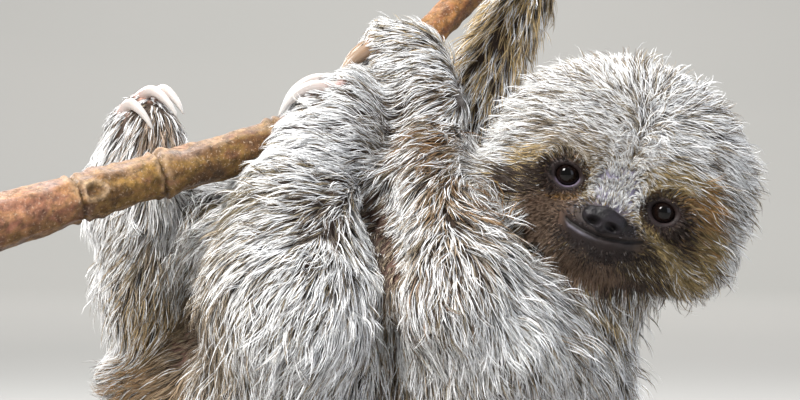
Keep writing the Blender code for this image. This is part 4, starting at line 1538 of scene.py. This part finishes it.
def layTufts(hide, roots, index, weights, found, lift, lean, steps=6):
    # walk each tuft along the skin, rising towards its tip
    normal = unit(blend(hide.normals[hide.triangles[index]], weights))
    place = roots.copy()
    flow = found["flow"]
    path, ups = [place.copy()], [normal.copy()]
    for step in range(1, steps + 1):
        share = step / steps
        along = flow - dot(flow, normal)[:, None] * normal
        along = turned(unit(along), normal, lean * (0.4 + 0.6 * share))
        height = found["depth"] * lift * (1 - (1 - share) ** 1.7)
        rise = height - found["depth"] * lift * (1 - (1 - share + 1 / steps) ** 1.7)
        stride = found["length"] / steps
        ahead = np.sqrt(np.maximum(stride**2 - rise**2, (0.35 * stride) ** 2))
        guess = place + along * ahead[:, None] + normal * rise[:, None]
        hits = [hide.tree.find_nearest(Vector(p)) for p in guess * mm]
        foot = np.array([hit[0] for hit in hits]) / mm
        seen = hide.triangles[np.array([hit[2] for hit in hits])]
        smoothNormal = unit(hide.normals[seen].mean(1))
        target = foot + smoothNormal * height[:, None]
        jump = np.linalg.norm(target - guess, axis=1)
        trust = smooth(2.6, 1.2, jump)[:, None] * (dot(smoothNormal, normal) > 0.1)[:, None]
        place = guess * (1 - trust) + target * trust
        normal = unit(normal * (1 - 0.7 * trust) + smoothNormal * 0.7 * trust)
        flow = unit(flow * (1 - 0.6 * trust) + hide.data["flow"][seen].mean(1) * 0.6 * trust)
        gap, out = perchClear(place)
        place = place + out * np.maximum(0.7 - gap, 0)[:, None]
        path.append(place.copy())
        ups.append(normal.copy())
    return np.stack(path, 1), np.stack(ups, 1)


def hairTones(roots, local, onHead, pale, chance):
    # each strand's colour, with its markings, painted shade and painted light, and 1 for the pale outer hair
    # or 0 for the darker hair under it
    count = len(roots)
    tones = {name: rgb(code) for name, code in hair.items()}
    share = pale + 0.14 * waves(roots, 26.0, 21) + 0.1 * waves(roots, 9.0, 22)
    body = 1 - onHead
    tint, tinted = np.zeros((count, 3)), np.zeros(count)
    for centre, reach, there, colour, strength in coatMarksAndPaintedShading:
        near = bell(distance(roots, centre), reach) * body
        share = mix(share, there, near * 0.9)
        tint += tones[colour] * (near * strength)[:, None]
        tinted += near * strength
    # in the folds the coat is darker: partly the darker hair that grows there and partly painted shade in the
    # crease
    inFold, _, bare = foldsAt(roots)
    inFold = inFold * body
    share = mix(share, mix(0.25, 0.05, bare), inFold)
    inside = mix(tones["foldHair"], tones["fold"], bare)
    tint += mix(inside, tones["tan"], chance.random(count)) * (inFold * 0.8)[:, None]
    tinted += inFold * 0.8
    for name in ("muzzle", "maskRight", "maskLeft"):
        share = share * (1 - onHead * patchShare(local, name, 0.6))
    isLight = chance.random(count) < np.clip(share, 0.0, 0.93)
    light = mix(tones["white"], tones["cream"], chance.random(count) ** 1.2)
    middling = mix(tones["tan"], tones["olive"], chance.random(count))
    dark = mix(tones["brown"], tones["tan"], chance.random(count) ** 2 * 0.8)
    tone = np.where((chance.random(count) < 0.4)[:, None], middling, dark)
    tone = np.where(isLight[:, None], light, tone)
    isLight = isLight.astype(float)
    taken = chance.random(count) < np.clip(tinted, 0, 0.85)
    # strands take the colour of the marks nearby, some of which are painted shade and painted light
    stain = tint / np.maximum(tinted, 1e-6)[:, None] * chance.uniform(0.75, 1.3, (count, 1))
    tone = np.where(taken[:, None], stain, tone)
    for name, (*_, tint, strength) in patches.items():
        taken = chance.random(count) < patchShare(local, name) * strength * onHead
        tone = np.where(taken[:, None], tones[tint] * chance.uniform(0.7, 1.2, (count, 1)), tone)
        isLight = np.where(taken, 0.5, isLight)
    return tone * chance.uniform(0.85, 1.08, (count, 1)) * mix(1.0, 0.9, onHead)[:, None], isLight


def strandLines(path, ups, tuft, own, outer, short, bends, chance):
    # each strand follows its tuft, a little apart, with its own length and curl
    total, steps = len(tuft), path.shape[1] - 1
    places = np.linspace(0, 1, bends + 1) ** 0.85
    s = places[None]
    where = s * own[:, None] * steps
    low = np.minimum(where.astype(int), steps - 1)
    part = (where - low)[..., None]
    at, after = (tuft[:, None], low), (tuft[:, None], low + 1)
    line = path[at] * (1 - part) + path[after] * part
    up = unit(ups[at] * (1 - part) + ups[after] * part)
    tangent = unit(np.gradient(line, axis=1))
    across = unit(np.cross(up, tangent))
    reach = coat["spread"] * np.clip(short, 0.25, 1.0)
    aside, behind, above = (chance.normal(size=total) * reach * size for size in (0.62, 0.62, 0.3))
    above = above + mix(-0.35, 0.35, outer) * short
    curl = (coat["curl"] * short * chance.uniform(0.3, 1.3, total))[:, None]
    phase, pace = chance.uniform(0, 6.28, (2, total)), chance.uniform(2.5, 6.5, (2, total))
    sway = curl * s * np.sin(phase[0][:, None] + pace[0][:, None] * s)
    bob = 0.7 * curl * s * np.sin(phase[1][:, None] + pace[1][:, None] * s)
    splay = chance.normal(size=total)[:, None] * short[:, None] * 0.8 * s**1.5
    line = line + across * (aside[:, None] * (1 - coat["gather"] * s) + sway + splay)[..., None]
    line = line + tangent * (behind[:, None] * (1 - s))[..., None]
    line = line + up * (above[:, None] * s + bob - 0.25 * (1 - s) ** 3)[..., None]
    flat = line.reshape(-1, 3)
    gap, out = perchClear(flat)
    return (flat + out * np.maximum(0.35 - gap, 0)[:, None]).reshape(line.shape), up, places


def ribbonEdges(line, up, places, fine, chance):
    # flat ribbons with their faces turned outwards, each with a roll of its own
    total = len(line)
    tangent = unit(np.gradient(line, axis=1))
    roll = chance.uniform(-1.0, 1.0, total)[:, None]
    across = unit(np.cross(up, tangent))
    over = np.cross(tangent, across)
    wide = across * np.cos(roll)[..., None] + over * np.sin(roll)[..., None]
    widths = [coat["rootWidth"], coat["bodyWidth"], coat["tipWidth"]]
    width = np.interp(places, [0, 0.35, 1.0], widths) * fine
    width = width[None] * chance.uniform(*coat["widthVaries"], (total, 1)) / 2
    return line - wide * width[..., None], line + wide * width[..., None]


def ribbonMesh(name, left, right, line):
    # two edges that meet in a point at the tip: quads, then one triangle
    total, bends = len(line), line.shape[1] - 1
    rows = 2 * bends + 1
    points = np.empty((total, rows, 3))
    points[:, 0:-1:2], points[:, 1:-1:2], points[:, -1] = left[:, :-1], right[:, :-1], line[:, -1]
    quads = np.array([(2 * i, 2 * i + 1, 2 * i + 3, 2 * i + 2) for i in range(bends - 1)])
    first = (np.arange(total) * rows)[:, None]
    tips = first + np.array([rows - 3, rows - 2, rows - 1])
    loops = np.concatenate([(first[..., None] + quads[None]).reshape(total, -1), tips], 1).ravel()
    sizes = np.tile([4] * (bends - 1) + [3], total)
    mesh = bpy.data.meshes.new(name)
    mesh.vertices.add(total * rows)
    mesh.loops.add(loops.size)
    mesh.polygons.add(len(sizes))
    mesh.vertices.foreach_set("co", (points.reshape(-1, 3) * mm).astype(np.float32).ravel())
    mesh.loops.foreach_set("vertex_index", loops.astype(np.int32))
    starts = np.concatenate(([0], np.cumsum(sizes)[:-1])).astype(np.int32)
    mesh.polygons.foreach_set("loop_start", starts)
    mesh.update(calc_edges=True)
    return mesh, loops


def unwrapOf(points, azimuthal):
    # lays the skin out flat: round its own long axis, or outwards from the middle of the face
    if azimuthal:
        way = unit(toHead(points))
        angle = np.arccos(np.clip(way[:, 2], -1, 1))
        turn = np.arctan2(way[:, 1], way[:, 0])
        flat = np.stack((angle * np.cos(turn), angle * np.sin(turn)), 1)
    else:
        middle = points.mean(0)
        some = (points - middle)[:: max(1, len(points) // 4000)]
        _, _, axes = np.linalg.svd(some, full_matrices=False)
        own = (points - middle) @ axes.T
        flat = np.stack((np.arctan2(own[:, 2], own[:, 1]) * 22.0, own[:, 0]), 1)
    flat = flat - flat.min(0)
    return 0.004 + 0.992 * flat / flat.max(0)


def unwrapStrands(mesh, flatPlace, shade, loops):
    # each tuft is a small patch in the unwrap, its strands side by side in it
    total, rows, per = len(flatPlace), len(shade), coat["strandsPerTuft"]
    slot = (np.arange(total) % per + 0.5) / per - 0.5
    edge = np.concatenate([np.tile([-1, 1], rows // 2), [0]]) / per * 0.45
    uv = np.empty((total, rows, 2))
    uv[..., 0] = flatPlace[:, :1] + coat["patch"] * (slot[:, None] + edge[None])
    uv[..., 1] = flatPlace[:, 1:] + coat["patch"] * (shade[None] - 0.5)
    layer = mesh.uv_layers.new(name="OFBake")
    layer.data.foreach_set("uv", uv.reshape(-1, 2)[loops].astype(np.float32).ravel())


def coatMaterial():
    # dry, coarse sloth hair: matt to satin, faintly mottled along each strand
    finish = {"Roughness": 0.6, "Specular IOR Level": 0.35, "Sheen Weight": 0.15, "Sheen Roughness": 0.4}
    made, tree, shader = newMaterial("coarseDryHair", finish)
    tone = addNode(tree, "ShaderNodeAttribute", attribute_name="tone")
    place = addNode(tree, "ShaderNodeTexCoord").outputs["Object"]
    size = {"Vector": place, "Scale": perMetre(coat["mottle"]), "Detail": 2.0}
    mottle = addNode(tree, "ShaderNodeTexNoise", size)
    span = {"Value": mottle, "From Min": 0.3, "From Max": 0.7, "To Min": 0.8, "To Max": 1.12}
    shade = addNode(tree, "ShaderNodeMapRange", span)
    mixed = addNode(tree, "ShaderNodeVectorMath", {0: tone, 1: shade}, operation="MULTIPLY")
    plug(tree, shader, {"Base Color": mixed})
    return made


def makeCoatPiece(name, hide, zone, grows, material):
    strands, bends, fine = coatPieces[name]
    chance = np.random.default_rng(everything["seed"] + sum(name.encode()))
    per = coat["strandsPerTuft"]
    tufts = int(strands / per * (1.0))
    index, weights, roots = plantTufts(hide, zone, grows, tufts, chance)
    found = hide.at(index, weights)
    beside = foldsAt(roots, 1.8)[0]  # tufts at the edge of a fold hang straight and don't cover it
    lift, lean = poseTufts(found, roots, beside, chance)
    path, ups = layTufts(hide, roots, index, weights, found, lift, lean)

    # strands are short where they would hang over a fold or an eye
    tuft = np.repeat(np.arange(tufts), per)
    over = np.maximum(foldsAt(path[:, -1])[0], foldsAt(path[:, path.shape[1] // 2])[0]) * (1 - 0.5 * beside)
    seen = eyeDistance(toHead(path.reshape(-1, 3))).reshape(tufts, -1).min(1)
    over = np.maximum(over, 1.5 * (seen < 1.3))[tuft]
    onHead = (hide.data["limb"][hide.triangles[index, 0]] == "head")[tuft].astype(float)
    tone, outer = hairTones(roots[tuft], toHead(roots)[tuft], onHead, found["pale"][tuft], chance)
    own = mix(chance.uniform(0.6, 0.95, len(tuft)), chance.uniform(0.75, 1.0, len(tuft)), outer)
    own = own * (1 - np.minimum(0.65 * over, 0.9))
    short = found["length"][tuft] / 14.0
    line, up, places = strandLines(path, ups, tuft, own, outer, short, bends, chance)
    left, right = ribbonEdges(line, up, places, fine, chance)
    mesh, loops = ribbonMesh(name, left, right, line)

    # darker at the root, and one patch of the unwrap for each tuft
    shade = np.concatenate([np.repeat(places[:-1], 2), [1.0]])
    dim = mix(coat["rootShade"], 1.0, smooth(0.0, 0.6, shade))
    colours = tone[:, None] * dim[None, :, None] + rgb(hair["brown"]) * 0.5 * (1 - dim)[None, :, None]
    setColours(mesh, "tone", colours.reshape(-1, 3))
    flatPlace = unwrapOf(roots, name in ("coat_face", "coat_cheeks", "coat_crown"))[tuft]
    unwrapStrands(mesh, flatPlace, shade, loops)
    piece(name, mesh, material, "coat")
    print(name, "tufts", tufts, "triangles", len(tuft) * (2 * bends - 1))


def makeCoat(mesh, data):
    hide = Hide(mesh, data)
    grows = hide.growth()
    material = coatMaterial()
    for name, zone in hide.zones().items():
        makeCoatPiece(name, hide, zone, grows, material)


makeStage()
skinMesh, skinData = makeSkin()
makeEyes()
makeNose()
makeClaws()
makePerch()
makeStand()
makeCoat(skinMesh, skinData)
